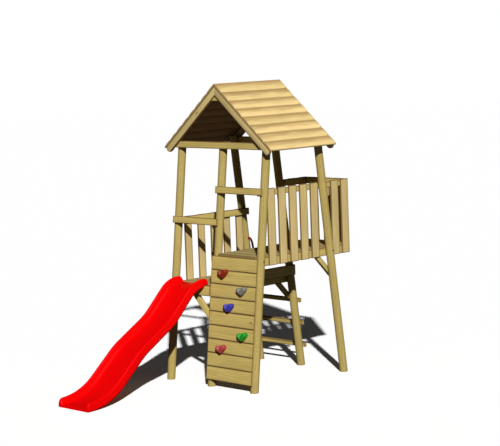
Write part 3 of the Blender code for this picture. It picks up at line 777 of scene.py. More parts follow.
def rgba(colour, scale=1.0):
    return (colour[0] * scale, colour[1] * scale, colour[2] * scale, 1.0)


def dress(graph, shader, colour, roughness, specular, height, depth, strength):
    """Give a shader its colour, roughness, specular level and bump."""
    bump = graph.add("ShaderNodeBump", {"Height": height, "Distance": depth,
                                        "Strength": strength})
    graph.link(colour, shader.inputs["Base Color"])
    graph.link(roughness, shader.inputs["Roughness"])
    graph.link(bump.outputs[0], shader.inputs["Normal"])
    shader.inputs["Specular IOR Level"].default_value = specular


def growth_lines(graph, where, spacing):
    """Late-wood lines that run along the board and drift."""
    across, through = graph.split(where)[1:]
    drift = graph.stretched_noise(where, DRIFT_STRETCH, 2.0)
    spread = graph.plus(across, graph.times(through, 0.7))
    phase = graph.plus(graph.times(spread, 2 * pi / spacing), graph.times(drift, 26.0))
    return graph.math("POWER", graph.wave(phase, 0.5), 2.2)


def knots_and_halos(graph, where):
    """Masks of scattered knots and of the darker wood round them."""
    cells = graph.vector("MULTIPLY", where, KNOT_STRETCH)
    knot = graph.add("ShaderNodeTexVoronoi", {"Vector": cells, "Scale": 1.0}).outputs
    chosen = graph.math("GREATER_THAN", graph.split(knot["Color"])[0], 0.55)
    return [graph.times(chosen, graph.ramp(knot["Distance"], near, far, 1.0, 0.0))
            for near, far in ((0.025, 0.055), (0.04, 0.17))]


def drying_cracks(graph, where, board, patch):
    """A log's long broken check, and hairline cracks in its paler patches."""
    across, through = graph.split(board)[1:]
    snake = graph.stretched_noise(where, SNAKE_STRETCH, 4.0)
    turn = graph.plus(graph.math("ARCTAN2", through, across), graph.wobble(snake, 0.5))
    from_check = graph.math("ABSOLUTE", graph.plus(turn, CHECK_ANGLE))
    broken = graph.stretched_noise(where, BREAK_STRETCH, 1.0)
    check = graph.times(graph.ramp(from_check, 0.016, 0.040, 1.0, 0.0),
                        graph.ramp(broken, 0.44, 0.52))
    hair = graph.stretched_noise(where, HAIR_STRETCH, 2.0)
    from_hair = graph.math("ABSOLUTE", graph.minus(hair, 0.5))
    hairline = graph.ramp(from_hair, 0.004, 0.012, 0.45, 0.0)
    return graph.math("MAXIMUM", check, graph.times(hairline, patch))


def weathered_and_shaded_edges(graph, surface, board, ragged_noise, stain_and_shade, edge_wear_and_shade):
    """Ragged dark edges on a board's faces, part wear and part painted shade, and narrow sides
    darkened as painted shade.
    """
    half = graph.attribute("half", "Vector")
    over = graph.vector("SUBTRACT", half, graph.vector("ABSOLUTE", board))
    along, side, face = graph.split(over)
    rim = graph.math("MINIMUM", graph.math("MAXIMUM", side, face),
                     graph.math("MAXIMUM", along, 0.0))
    ragged = graph.plus(rim, graph.wobble(ragged_noise, 0.004))
    # Edges darkened partly as weathering and partly as painted shade along the seams
    worn = graph.ramp(ragged, 0.0040, 0.0115, 0.95 * edge_wear_and_shade, 0.0)
    surface = graph.mix(worn, surface, rgba(stain_and_shade, 0.6))
    # Narrow sides darkened as painted shade between neighbouring boards
    flank = graph.times(graph.ramp(side, 0.0005, 0.0016, 0.62 * edge_wear_and_shade, 0.0),
                        graph.math("GREATER_THAN", face, 0.002))
    return graph.mix(flank, surface, rgba(stain_and_shade))


def painted_roof_shade(graph, surface, where, board):
    """Painted shade on a roof board: brown that deepens to one side, and a dark underside."""
    share = graph.vector("DIVIDE", board, graph.attribute("half", "Vector"))
    up, height = graph.split(share)[1:]
    # Painted shade band that deepens to one side of the board, with a wavy edge
    wavy = graph.plus(up, graph.wobble(graph.stretched_noise(where, RIPPLE_STRETCH, 3.0), 1.5))
    painted_band = graph.ramp(wavy, -0.55, 0.90, 0.0, 0.90)
    surface = graph.mix(painted_band, surface, rgba(PAINTED_BAND_SHADE_COLOUR))
    # Painted shade on the board's underside
    under = graph.ramp(height, -0.9, -0.5, 0.75, 0.0)
    return graph.mix(under, surface, rgba(PAINTED_UNDERSIDE_SHADE_COLOUR))


def ring_phase(graph, board, round_log):
    """Phase of the growth rings on a sawn end, about a log's middle or a board's pith."""
    across, through = graph.split(board)[1:]
    if round_log:
        from_middle = graph.add("ShaderNodeVectorMath", {0: graph.combine(0.0, across, through)},
                                operation="LENGTH").outputs["Value"]
        return graph.times(from_middle, 2 * pi / LOG_RINGS)
    squares = [graph.math("POWER", graph.plus(value, aside), 2.0)
               for value, aside in zip((across, through), BOARD_PITH)]
    return graph.times(graph.plus(*squares), 2 * pi / BOARD_RINGS)


def timber_material(name, colour, stain_and_shade, line_spacing, line_depth, painted_shade_band=False,
                    round_log=False, edge_wear_and_shade=1.0):
    """Softwood: growth lines along the board, fibres, knots, end rings, and seams darkened as
    painted shade.
    """
    if name in bpy.data.materials:
        return bpy.data.materials[name]
    made, graph, shader = new_material(name)
    board = graph.attribute("board", "Vector")
    tone = graph.attribute("tone")
    apart = graph.combine(*[graph.times(tone, far) for far in TONE_APART])
    where = graph.vector("ADD", board, apart)
    lines = growth_lines(graph, where, line_spacing)
    fibre = graph.stretched_noise(where, FIBRE_STRETCH, 3.0)
    knots, halo = knots_and_halos(graph, where)
    patches = graph.stretched_noise(where, PATCH_STRETCH, 3.0)
    patch = graph.ramp(patches, 0.35, 0.70)

    surface = graph.mix(patch, rgba(colour, 0.93), rgba(colour, 1.06))
    for mask, strength, darkness in ((lines, line_depth, 1.6),
                                     (graph.ramp(fibre, 0.35, 0.72), 0.16, 1.2),
                                     (halo, 0.22, 1.5), (knots, 0.75, 0.8)):
        surface = graph.mix(graph.times(mask, strength), surface, rgba(stain_and_shade, darkness))
    tint = graph.mix(tone, rgba((0.93, 0.94, 0.93)), rgba((1.04, 1.03, 1.04)))
    surface = graph.mix(1.0, surface, tint, "MULTIPLY")

    height = graph.plus(graph.times(lines, 0.35), fibre)
    if round_log:
        opened = drying_cracks(graph, where, board, patch)
        surface = graph.mix(graph.times(opened, 0.85), surface, rgba(stain_and_shade, 0.35))
        height = graph.minus(height, graph.times(opened, 1.5))
    else:
        surface = weathered_and_shaded_edges(graph, surface, board, patches, stain_and_shade, edge_wear_and_shade)
    # Roof boards get a painted shade band and a painted dark underside
    if painted_shade_band:
        surface = painted_roof_shade(graph, surface, where, board)
    rings = graph.plus(graph.wave(ring_phase(graph, board, round_log), 0.22), 0.25)
    sawn_end = graph.mix(rings, rgba(colour, 0.45 if painted_shade_band else 0.72), rgba(stain_and_shade, 1.3))
    final = graph.mix(graph.attribute("end"), surface, sawn_end)
    rough = graph.ramp(fibre, 0.2, 0.8, 0.62, 0.82)
    dress(graph, shader, final, rough, 0.25, height, 0.0008, 0.5)
    return made


WOODS = {
    "log": {"line_spacing": 0.024, "line_depth": 0.28, "round_log": True},
    "board": {"line_spacing": 0.024, "line_depth": 0.38},
    "deck": {"line_spacing": 0.020, "line_depth": 0.34},
    "picket": {"line_spacing": 0.022, "line_depth": 0.24},
    # The roof wood carries painted shade
    "roof": {"line_spacing": 0.024, "line_depth": 0.10, "painted_shade_band": True, "edge_wear_and_shade": 0.35},
}


def wood(kind):
    timber = bpy.context.scene.playhouse_timber
    return timber_material(kind + "_pine", getattr(timber, kind + "_colour"),
                           timber.stain_and_shade_colour, **WOODS[kind])


def moulded_plastic(name, colour, worn):
    """Polyethylene with a faint grain, paler rub marks along it, and painted shade darkening the
    skirt's foot.
    """
    if name in bpy.data.materials:
        return bpy.data.materials[name]
    plastic = bpy.context.scene.playhouse_plastic
    made, graph, shader = new_material(name)
    place_at = graph.own_place()
    soft = graph.ramp(graph.noise(place_at, 4.0, 3.0), 0.3, 0.7)
    streak = graph.stretched_noise(place_at, (160.0, 2.2, 2.2), 2.0)
    rubbed = graph.ramp(streak, 0.62, 0.80, 0.0, 0.10)
    base = graph.mix(soft, rgba(colour, 0.95), rgba(colour, 1.03))
    # Painted shade: the skirt's foot edge is darkened
    painted_foot_shade = graph.ramp(graph.attribute("foot"), 0.74, 0.96, 0.0, 0.8)
    with_painted_foot_shade = graph.mix(painted_foot_shade, graph.mix(rubbed, base, rgba(worn)), rgba(colour, 0.25))
    low = plastic.slide_roughness - 0.06
    rough = graph.ramp(streak, 0.3, 0.8, low, low + 0.16)
    dress(graph, shader, with_painted_foot_shade, rough, 0.08, graph.noise(place_at, 1.0, 420.0), 0.0004, 0.25)
    return made


def hold_resin(colour_name):
    """Cast resin with dark grains of sand in it and duller blotches."""
    colour = getattr(bpy.context.scene.playhouse_plastic, colour_name)
    made, graph, shader = new_material("hold_resin_" + colour_name)
    place_at = graph.own_place()
    sand = graph.noise(place_at, 2.0, 900.0)
    blotch = graph.noise(place_at, 3.0, 45.0)
    speckled = graph.mix(graph.ramp(sand, 0.45, 0.75, 0.0, 0.35), rgba(colour),
                         rgba(colour, 0.45))
    mottled = graph.mix(graph.ramp(blotch, 0.35, 0.75, 0.0, 0.30), speckled,
                        rgba([c * 0.8 + 0.02 for c in colour]))
    rough = graph.ramp(blotch, 0.3, 0.7, 0.36, 0.56)
    dress(graph, shader, mottled, rough, 0.22, sand, 0.0008, 0.5)
    return made


def zinc():
    """Zinc-plated steel, a little dull and yellowed."""
    if "zinc_plate" in bpy.data.materials:
        return bpy.data.materials["zinc_plate"]
    made, graph, shader = new_material("zinc_plate")
    cloud = graph.noise(graph.own_place(), 3.0, 160.0)
    tarnished = graph.mix(cloud, rgba((0.30, 0.27, 0.19)), rgba((0.50, 0.45, 0.32)))
    graph.link(tarnished, shader.inputs["Base Color"])
    graph.link(graph.ramp(cloud, 0.3, 0.7, 0.35, 0.55), shader.inputs["Roughness"])
    shader.inputs["Metallic"].default_value = 1.0
    return made


# Heads of screws and bolts

def turned_head(name, profile):
    """Head turned from (radius, height) points, from its foot to its centre."""
    if name in bpy.data.objects:
        return bpy.data.objects[name]
    sides = bpy.context.scene.playhouse_fixings.head_sides
    bm = bmesh.new()
    turns = [2 * pi * i / sides for i in range(sides)]
    rings = [[bm.verts.new((radius * cos(turn), radius * sin(turn), height)) for turn in turns]
             for radius, height in profile[:-1]]
    centre = bm.verts.new((0, 0, profile[-1][1]))
    bridge(bm, rings)
    close_with_point(bm, rings[-1], centre)
    bm.faces.new(list(reversed(rings[0])))
    return bpy.data.objects.new(name, mesh_from(bm, name))


def screw_head():
    """Countersunk head with a recess in the middle."""
    r = bpy.context.scene.playhouse_fixings.screw_radius
    return turned_head("screw_head", [(r, -0.0008), (r, 0.0003), (0.88 * r, 0.0009),
                                      (0.46 * r, 0.0010), (0.34 * r, -0.0006), (0.0, -0.0006)])


def bolt_head():
    """Low domed head with a shallow flange."""
    r = bpy.context.scene.playhouse_fixings.bolt_radius
    return turned_head("bolt_head", [(r, -0.001), (r, 0.0012), (0.92 * r, 0.0020),
                                     (0.70 * r, 0.0022), (0.62 * r, 0.0042), (0.35 * r, 0.0056),
                                     (0.0, 0.0060)])


def screws(where, stock, length, inset, rows=2, count=1, step=(0, 0, 0), seed=0):
    """Screw heads near both ends of each board of a row."""
    face = where @ Matrix.Translation((0, 0, stock[1] / 2))
    return heads(screw_head(), face, length - 2 * inset, SCREW_SPREAD * stock[0], rows=rows,
                 count=count, step=step, seed=seed)


def one_head(head, where):
    return heads(head, where, 0.0, 0.0, columns=1, rows=1)


def screwed_boards(length, stock, where, inset, seed, screw_seed, kind="board", rows=2, **row):
    """A row of boards, and the screws near both ends of each."""
    return (boards(length, stock, where, seed, kind, **row),
            screws(where, stock, length, inset, rows=rows, seed=screw_seed, **row))


# Operators

class PLAYHOUSE_OT_posts(bpy.types.Operator):
    """Six round posts that lean inwards"""
    bl_idname = "playhouse.posts"
    bl_label = "Posts"

    def execute(self, context):
        timber = context.scene.playhouse_timber
        rows = []
        for side, seed in ((-1, 3), (1, 8)):
            foot = Matrix.Translation((-POST_SPACING, MIDDLE + side * HALF_SPREAD, 0))
            values = row_values(foot, POSTS_IN_ROW, (POST_SPACING, 0, 0), seed, wood("log"))
            rows.append(grown(log_tree, "posts", height=POST_TOP, radius=POST_RADIUS,
                              chamfer=POST_CHAMFER, lean=-side * POST_LEAN,
                              waviness=LOG_WAVINESS * timber.waviness, **values))
        keep(joined("round_posts", rows), "post_wood", *nodes_named("post_"))
        return {"FINISHED"}


class PLAYHOUSE_OT_front_rails(bpy.types.Operator):
    """Two flat rails across the front"""
    bl_idname = "playhouse.front_rails"
    bl_label = "Front rails"

    def execute(self, context):
        stock = (RAIL_STOCK[0] * LEAN_STRETCH, RAIL_STOCK[1])
        nodes = ("front_rail_lower", "front_rail_upper")
        rows = []
        for seed, node in enumerate(nodes):
            where = place(node_centre(node), (1, 0, 0), leaning(-1))
            rows.append(screwed_boards(node_size(node).x, stock, where, RAIL_SCREW_INSET,
                                       21 + seed, seed))
        keep_rows("front_rails", "board_wood", nodes, "front_rail_screws", rows)
        return {"FINISHED"}


def even_row(stem):
    """Nodes numbered from 1 along a line, the first one's centre and the world step."""
    nodes = [f"{stem}{i + 1}" for i in range(len(nodes_named(stem)))]
    start, stop = node_centre(nodes[0]), node_centre(nodes[-1])
    return nodes, start, (stop - start) / (len(nodes) - 1)


class PLAYHOUSE_OT_climbing_wall(bpy.types.Operator):
    """Nine boards across the two right-hand front posts"""
    bl_idname = "playhouse.climbing_wall"
    bl_label = "Climbing wall"

    def execute(self, context):
        nodes, start, step = even_row("climbing_board_")
        where = place(start, (1, 0, 0), leaning(-1))
        stock = (step.length - WALL_GAP, WALL_THICKNESS)
        wall = screwed_boards(node_size(nodes[0]).x, stock, where, WALL_SCREW_INSET, 5, 4,
                              count=len(nodes), step=step)
        keep_rows("climbing_wall", "board_wood", nodes, "climbing_wall_screws", [wall])
        return {"FINISHED"}


class PLAYHOUSE_OT_ladder(bpy.types.Operator):
    """Three rungs across the left-hand back posts"""
    bl_idname = "playhouse.ladder"
    bl_label = "Ladder"

    def execute(self, context):
        nodes, start, step = even_row("ladder_rung_")
        where = place(start, (-1, 0, 0), leaning(1))
        rungs = screwed_boards(node_size(nodes[0]).x, RUNG_STOCK, where, POST_RADIUS, 11, 6,
                               rows=1, count=len(nodes), step=step)
        keep_rows("ladder_rungs", "board_wood", nodes, "ladder_screws", [rungs])
        return {"FINISHED"}


class PLAYHOUSE_OT_roof_frame(bpy.types.Operator):
    """Tie beams, rafters with round feet, and the gable's gusset"""
    bl_idname = "playhouse.roof_frame"
    bl_label = "Roof frame"

    def execute(self, context):
        front, back = node_centre("tie_beam_front"), node_centre("tie_beam_back")
        length = node_size("tie_beam_front").x
        where = place(front, (1, 0, 0), (0, -1, 0))
        parts = [boards(length, TIE_STOCK, where, 31, count=2, step=back - front)]
        rafters = [f"rafter_{end}_{hand}" for end in ("front", "back")
                   for hand in ("left", "right")]
        for seed, node in enumerate(rafters):
            hand = -1 if node.endswith("left") else 1
            slope = (hand * cos(ROOF_PITCH), 0, -sin(ROOF_PITCH))
            parts.append(sawn_copy(node, slope, seed + 2, "picket"))
        parts.append(sawn_copy("gable_gusset", (1, 0, 0), 9))
        keep(joined("roof_frame", parts), "board_wood", "tie_beam_front", "tie_beam_back",
             *rafters, "gable_gusset")
        return {"FINISHED"}


class PLAYHOUSE_OT_roof_boards(bpy.types.Operator):
    """Boards laid edge to edge on both slopes of the roof"""
    bl_idname = "playhouse.roof_boards"
    bl_label = "Roof boards"

    def execute(self, context):
        parts, fixed = [], []
        length = node_size("roof_board_left_1").y
        middle = node_centre("roof_board_left_1").y
        depth = ROOF_STOCK[1]
        apex = frame_box[1][2] - (depth + TOUCH) / cos(ROOF_PITCH)
        slope_length = ROOF_BOARDS * ROOF_BOARD_STEP
        mitre = depth * tan(ROOF_PITCH)
        for hand, seed in ((1, 41), (-1, 57)):
            down = Vector((hand * cos(ROOF_PITCH), 0, -sin(ROOF_PITCH)))
            up = Vector((hand * sin(ROOF_PITCH), 0, cos(ROOF_PITCH)))
            along = Vector((0, hand, 0))
            top = Vector((0, middle, apex)) + up * depth / 2
            where = place(top + down * (slope_length - ROOF_BOARD_STEP / 2), along, up)
            step = -down * ROOF_BOARD_STEP
            parts.append(boards(length, ROOF_STOCK, where, seed, "roof", ROOF_BOARDS - 1, step,
                                ROOF_CROWN))
            last = place(top + down * (ROOF_BOARD_STEP - mitre) / 2, along, up)
            ridge = boards(length, (ROOF_STOCK[0] + mitre, depth), last, seed + 1, "roof",
                           crown=RIDGE_CROWN)
            for vertex in ridge.data.vertices:
                vertex.co.x = hand * max(hand * vertex.co.x, TOUCH)
                vertex.co.z = min(vertex.co.z, frame_box[1][2] - RIDGE_SLACK)
            parts.append(ridge)
            below_middle = where @ Matrix.Translation((0, -ROOF_SCREW_ASIDE * ROOF_STOCK[0],
                                                       depth / 2))
            fixed.append(heads(screw_head(), below_middle, length - 2 * ROOF_SCREW_INSET,
                               ROOF_SCREW_SPREAD, count=ROOF_BOARDS, step=step, seed=seed))
        keep(joined("roof_boards", parts), "roof_wood", *nodes_named("roof_board_"))
        keep(joined("roof_screws", fixed), "zinc_steel")
        return {"FINISHED"}


def deck_row(front, back):
    """Board width, step and count that fill a deck from front to back."""
    count = ceil((back - front + DECK_GAP) / (DECK_STOCK[0] + DECK_GAP))
    step = (back - front + DECK_GAP) / count
    return step - DECK_GAP, step, count


def level_boards(left, right, front, width, step, count, top, seed):
    """Deck boards along X, and the screws that hold them down."""
    where = place(((left + right) / 2, MIDDLE + front + width / 2, top - DECK_STOCK[1] / 2),
                  (1, 0, 0), (0, 0, 1))
    return screwed_boards(right - left, (width, DECK_STOCK[1] - DECK_SLACK), where,
                          BEAM_STOCK[1] / 2, seed, seed, "deck", count=count, step=(0, step, 0))


def board_along_y(x, front, back, z, stock, side, seed):
    """A board on edge along Y whose outer face looks to the left (-1) or the right (1)."""
    where = place((x, MIDDLE + (front + back) / 2, z), (0, 1, 0), (side, 0, 0))
    return boards(back - front, stock, where, seed)


def board_along_x(left, right, y, z, stock, side, seed):
    """A board on edge along X whose outer face looks to the front (-1) or the back (1)."""
    where = place(((left + right) / 2, MIDDLE + y, z), (-side, 0, 0), (0, side, 0))
    return boards(right - left, stock, where, seed)


def beam_level(beam_top):
    """Foot and middle height of the beams under a deck's boards, and their stock."""
    foot, top = beam_top - BEAM_STOCK[0], beam_top - TOUCH
    return foot, (foot + top) / 2, (top - foot, BEAM_STOCK[1])


class PLAYHOUSE_OT_lower_deck(bpy.types.Operator):
    """Deck on the slide's side, on its beams"""
    bl_idname = "playhouse.lower_deck"
    bl_label = "Lower deck"

    def execute(self, context):
        left, right = -BEAM_FACE, -INNER_FACE
        foot, z, stock = beam_level(LOWER_BEAM_TOP)
        half = stock[1] / 2
        reach = post_y(foot) + lean_offset(POST_RADIUS)
        beams = [board_along_y(left + half, -reach, reach, z, stock, -1, 61),
                 board_along_y(right - half, -reach, reach, z, stock, 1, 62),
                 board_along_x(left + stock[1], right - stock[1], reach - half, z, stock, 1, 63)]
        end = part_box("climbing_board_1")[0][0] - TOUCH
        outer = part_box("lower_deck")[0][0]
        thickness = DECK_STOCK[1]
        height = (LOWER_TOP - foot) * LEAN_STRETCH - thickness * sin(LEAN_ANGLE)
        middle_z = (LOWER_TOP - thickness * sin(LEAN_ANGLE) / 2 + foot) / 2 - FRONT_BOARD_DROP
        offset = POST_RADIUS + TOUCH + thickness / 2
        centre = ((outer + end) / 2, MIDDLE - post_y(middle_z) - lean_offset(offset), middle_z)
        where = place(centre, (1, 0, 0), leaning(-1))
        front_board = screwed_boards(end - outer, (height, thickness), where, RAIL_SCREW_INSET,
                                     64, 2)
        front = post_y(LOWER_TOP) + lean_offset(POST_RADIUS)
        width, step, count = deck_row(-front, front)
        row = level_boards(left, right, -front, width, step, count, LOWER_TOP, 65)
        keep_rows("lower_deck_boards", "board_wood", ["lower_deck"], "lower_deck_screws",
                  [front_board, row], beams)
        return {"FINISHED"}


class PLAYHOUSE_OT_upper_deck(bpy.types.Operator):
    """Deck on the climbing wall's side, and the balcony behind it"""
    bl_idname = "playhouse.upper_deck"
    bl_label = "Upper deck"

    def execute(self, context):
        left, right = INNER_FACE, BEAM_FACE
        foot, z, stock = beam_level(UPPER_BEAM_TOP)
        half = stock[1] / 2
        low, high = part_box("upper_deck")
        corner, front, back = low[0], low[1] - MIDDLE, high[1] - MIDDLE
        end = back - stock[1]
        behind_post = post_y(foot) + lean_offset(POST_RADIUS) + TOUCH
        beams = [board_along_y(left + half, front, end, z, stock, -1, 71),
                 board_along_y(right - half, front, end, z, stock, 1, 72),
                 board_along_x(left + stock[1], right - stock[1], front + half, z, stock, -1, 73),
                 board_along_x(corner, right, back - half, z, stock, 1, 74),
                 board_along_y(corner + half, behind_post, end, z, stock, -1, 75)]
        width, step, count = deck_row(front, back)
        clear = post_y(UPPER_BEAM_TOP) + lean_offset(POST_RADIUS) + TOUCH
        inside = ceil((clear - front) / step)
        rows = [level_boards(left, right, front, width, step, inside, UPPER_TOP, 76),
                level_boards(corner, right, front + inside * step, width, step, count - inside,
                             UPPER_TOP, 77)]
        keep_rows("upper_deck_boards", "board_wood", ["upper_deck"], "upper_deck_screws", rows,
                  beams)
        return {"FINISHED"}


class PLAYHOUSE_OT_riser(bpy.types.Operator):
    """Board under the step from the lower to the upper deck"""
    bl_idname = "playhouse.riser"
    bl_label = "Riser board"

    def execute(self, context):
        where = place(node_centre("riser_board"), (0, 1, 0), (1, 0, 0))
        riser = screwed_boards(node_size("riser_board").y, RISER_STOCK, where,
                               RISER_SCREW_INSET, 81, 8)
        keep_rows("riser", "board_wood", ["riser_board"], "riser_screws", [riser])
        return {"FINISHED"}


class PLAYHOUSE_OT_braces(bpy.types.Operator):
    """Slanting braces under the beams"""
    bl_idname = "playhouse.braces"
    bl_label = "Braces"

    def execute(self, context):
        braces = {"brace_back_right": ((0, 1, -1), 4), "brace_back_middle": ((0, 1, -1), 6),
                  "brace_front_middle": ((1, 0, -1), 7)}
        parts = [sawn_copy(node, along, seed) for node, (along, seed) in braces.items()]
        keep(joined("braces", parts), "board_wood", *braces)
        return {"FINISHED"}


def picket_limit(z):
    """Distance from the middle plane at which a post's side leaves room for a picket."""
    inset = POST_SPACING - (PICKET_FACE + RIGHT_PICKET_STOCK[1])
    chord = sqrt(max(POST_RADIUS ** 2 - inset ** 2, 0.0))
    return post_y(z) - lean_offset(chord) - PICKET_CLEARANCE


def upright_row(x, side, start, stock, foot, top, count, step, seed):
    """Pickets along Y whose outer face looks to the given side, and their screws."""
    where = place((x, MIDDLE + start + stock[0] / 2, (foot + top) / 2), (0, 0, 1), (side, 0, 0))
    return screwed_boards(top - foot, stock, where, PICKET_SCREW_INSET, seed, seed, "picket",
                          count=count, step=(0, step, 0))


class PLAYHOUSE_OT_left_fence(bpy.types.Operator):
    """Rail and five upright boards beside the lower deck"""
    bl_idname = "playhouse.left_fence"
    bl_label = "Left fence"

    def execute(self, context):
        low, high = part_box("fence_left")
        top, foot = high[2], low[2]
        reach = (high[1] - low[1]) / 2
        width, thickness = RAIL_STOCK
        rail = board_along_y(-RAIL_FACE + thickness / 2, -reach, reach, top - width / 2,
                             RAIL_STOCK, 1, 91)
        limit = picket_limit(top)
        step = (2 * limit - LEFT_PICKET_STOCK[0]) / (LEFT_PICKETS - 1)
        x = -PICKET_FACE - LEFT_PICKET_STOCK[1] / 2
        row = upright_row(x, -1, -limit, LEFT_PICKET_STOCK, foot, top - PICKET_SLACK,
                          LEFT_PICKETS, step, 92)
        keep_rows("left_fence", "fence_wood", ["fence_left"], "left_fence_screws", [row], [rail])
        return {"FINISHED"}


class PLAYHOUSE_OT_right_fence(bpy.types.Operator):
    """Rail and upright boards beside the upper deck and the balcony"""
    bl_idname = "playhouse.right_fence"
    bl_label = "Right fence"

    def execute(self, context):
        low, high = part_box("fence_right")
        foot, top, back = low[2], high[2], high[1] - MIDDLE
        width, thickness = SIDE_RAIL_STOCK
        front = -(post_y(top) + lean_offset(POST_RADIUS))
        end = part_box("fence_balcony")[1][1] - MIDDLE - BALCONY_PICKET_STOCK[1] - thickness
        rail = board_along_y(RAIL_FACE - thickness / 2, front + TOUCH, end - TOUCH,
                             top - SIDE_RAIL_DROP - width / 2, SIDE_RAIL_STOCK, 1, 101)
        limit = picket_limit(top)
        picket = RIGHT_PICKET_STOCK[0]
        first = -(limit + PICKET_CLEARANCE) + RIGHT_FENCE_SETBACK
        step = (limit - picket - first) / (RIGHT_PICKETS - 1)
        x = PICKET_FACE + RIGHT_PICKET_STOCK[1] / 2
        last = back - picket - TOUCH
        rows = [upright_row(x, 1, start, RIGHT_PICKET_STOCK, foot, top, count, step, seed)
                for start, count, seed in ((first, RIGHT_PICKETS, 102),
                                           (last - RIGHT_END_PITCH, 1, 103), (last, 1, 104))]
        keep_rows("right_fence", "fence_wood", ["fence_right"], "right_fence_screws", rows,
                  [rail])
        return {"FINISHED"}


class PLAYHOUSE_OT_balcony_fence(bpy.types.Operator):
    """Two rails and upright boards round the balcony"""
    bl_idname = "playhouse.balcony_fence"
    bl_label = "Balcony fence"

    def execute(self, context):
        low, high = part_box("fence_balcony")
        foot, top, back = low[2], high[2], high[1] - MIDDLE
        width, thickness = RAIL_STOCK
        picket = BALCONY_PICKET_STOCK
        inside = BALCONY_SIDE + picket[1]
        back_face = back - picket[1]
        rail_z = top - width / 2
        start = post_y(top - width) + lean_offset(POST_RADIUS) + TOUCH
        end = back_face - thickness
        rails = [board_along_y(inside + thickness / 2, start, end, rail_z, RAIL_STOCK, -1, 111),
                 board_along_x(inside, BEAM_FACE, back_face - thickness / 2, rail_z, RAIL_STOCK,
                               1, 112)]
        x = BALCONY_SIDE + picket[1] / 2
        side_row = upright_row(x, -1, back_face - picket[0] - BALCONY_SIDE_PITCH, picket, foot,
                               top - PICKET_SLACK, BALCONY_SIDE_PICKETS, BALCONY_SIDE_PITCH, 113)
        first = (inside + RAIL_FACE - picket[0]) / 2 - BALCONY_BACK_PITCH
        y = back - picket[1] / 2 - BALCONY_BACK_SLACK
        where = place((first + picket[0] / 2, MIDDLE + y, (foot + top) / 2), (0, 0, 1),
                      (0, 1, 0))
        step = (BALCONY_BACK_PITCH, 0, 0)
        back_row = (boards(top - foot - 2 * PICKET_SLACK, picket, where, 114, "picket",
                           BALCONY_BACK_PICKETS, step),
                    screws(where, picket, top - foot, PICKET_SCREW_INSET,
                           count=BALCONY_BACK_PICKETS, step=step, seed=9))
        keep_rows("balcony_fence", "fence_wood", ["fence_balcony"], "balcony_fence_screws",
                  [side_row, back_row], rails)
        return {"FINISHED"}


# Slide

def slide_path():
    """Points (y, z) along the skirt's lower edge, and the Y of the deck's front board.

    Both are in the tower's own Y, which starts from its middle plane.
    """
    skirt = SLIDE_BED_HEIGHT - SLIDE_WALL
    deck_front = -(post_y(LOWER_TOP) + lean_offset(POST_RADIUS + TOUCH + DECK_STOCK[1]))
    y, z = deck_front + SLIDE_LAP, LOWER_TOP + TOUCH - skirt
    corners = [(y, z, 0.0)]
    y -= SLIDE_TOP_LENGTH
    corners.append((y, z, SLIDE_TOP_RADIUS))
    for length, slope in zip(SLIDE_RUNS, SLIDE_SLOPES):
        y -= length * cos(radians(slope))
        z -= length * sin(radians(slope))
        corners.append((y, z, SLIDE_WAVE_RADIUS))
    y -= (z - SLIDE_FOOT_RISE) / tan(radians(SLIDE_SLOPES[2]))
    corners.append((y, SLIDE_FOOT_RISE, SLIDE_WAVE_RADIUS))
    corners.append((y - SLIDE_FOOT_LENGTH, 0.0, 0.0))
    first = Vector(corners[0][:2])
    run = (Vector(corners[1][:2]) - first).normalized()
    points = []
    for i in range(SLIDE_END_STEPS):
        share = 1 - sqrt(1 - (i / SLIDE_END_STEPS) ** 2)
        points.append(first + run * SLIDE_END_ROUND * share)
    points.append(Vector((deck_front - TOUCH, corners[0][1])))
    for before, here, after in zip(corners, corners[1:], corners[2:]):
        point = Vector(here[:2])
        back = (Vector(before[:2]) - point).normalized()
        ahead = (Vector(after[:2]) - point).normalized()
        half_turn = (pi - back.angle(ahead)) / 2
        reach = here[2] * tan(half_turn)
        centre = point + (back + ahead).normalized() * here[2] / cos(half_turn)
        start = point + back * reach - centre
        stop = point + ahead * reach - centre
        for i in range(SLIDE_ARC_STEPS + 1):
            points.append(centre + start.slerp(stop, i / SLIDE_ARC_STEPS) * here[2])
    final = Vector(corners[-1][:2])
    run = (final - points[-1]).normalized()
    for i in range(SLIDE_END_STEPS - 1):
        share = (1 - i / SLIDE_END_STEPS) ** SLIDE_FOOT_CROWDING
        points.append(final - run * SLIDE_FOOT_ROUND * share)
    points += [final - run * back for back in (SLIDE_WALL + TOUCH, SLIDE_WALL, 0.0)]
    return points, deck_front


def smooth_line(points, steps):
    """Curve through the points: a straight first run, then so many steps for each span."""
    made = [Vector(points[0])]
    for i in range(1, len(points) - 1):
        a = Vector(points[i - 1]) if i > 1 else 2 * Vector(points[1]) - Vector(points[2])
        b, c = Vector(points[i]), Vector(points[i + 1])
        d = Vector(points[min(i + 2, len(points) - 1)])
        for k in range(steps):
            t = k / steps
            made.append(0.5 * (2 * b + (c - a) * t + (2 * a - 5 * b + 4 * c - d) * t * t
                               + (3 * b - a - 3 * c + d) * t ** 3))
    made.append(Vector(points[-1]))
    return made


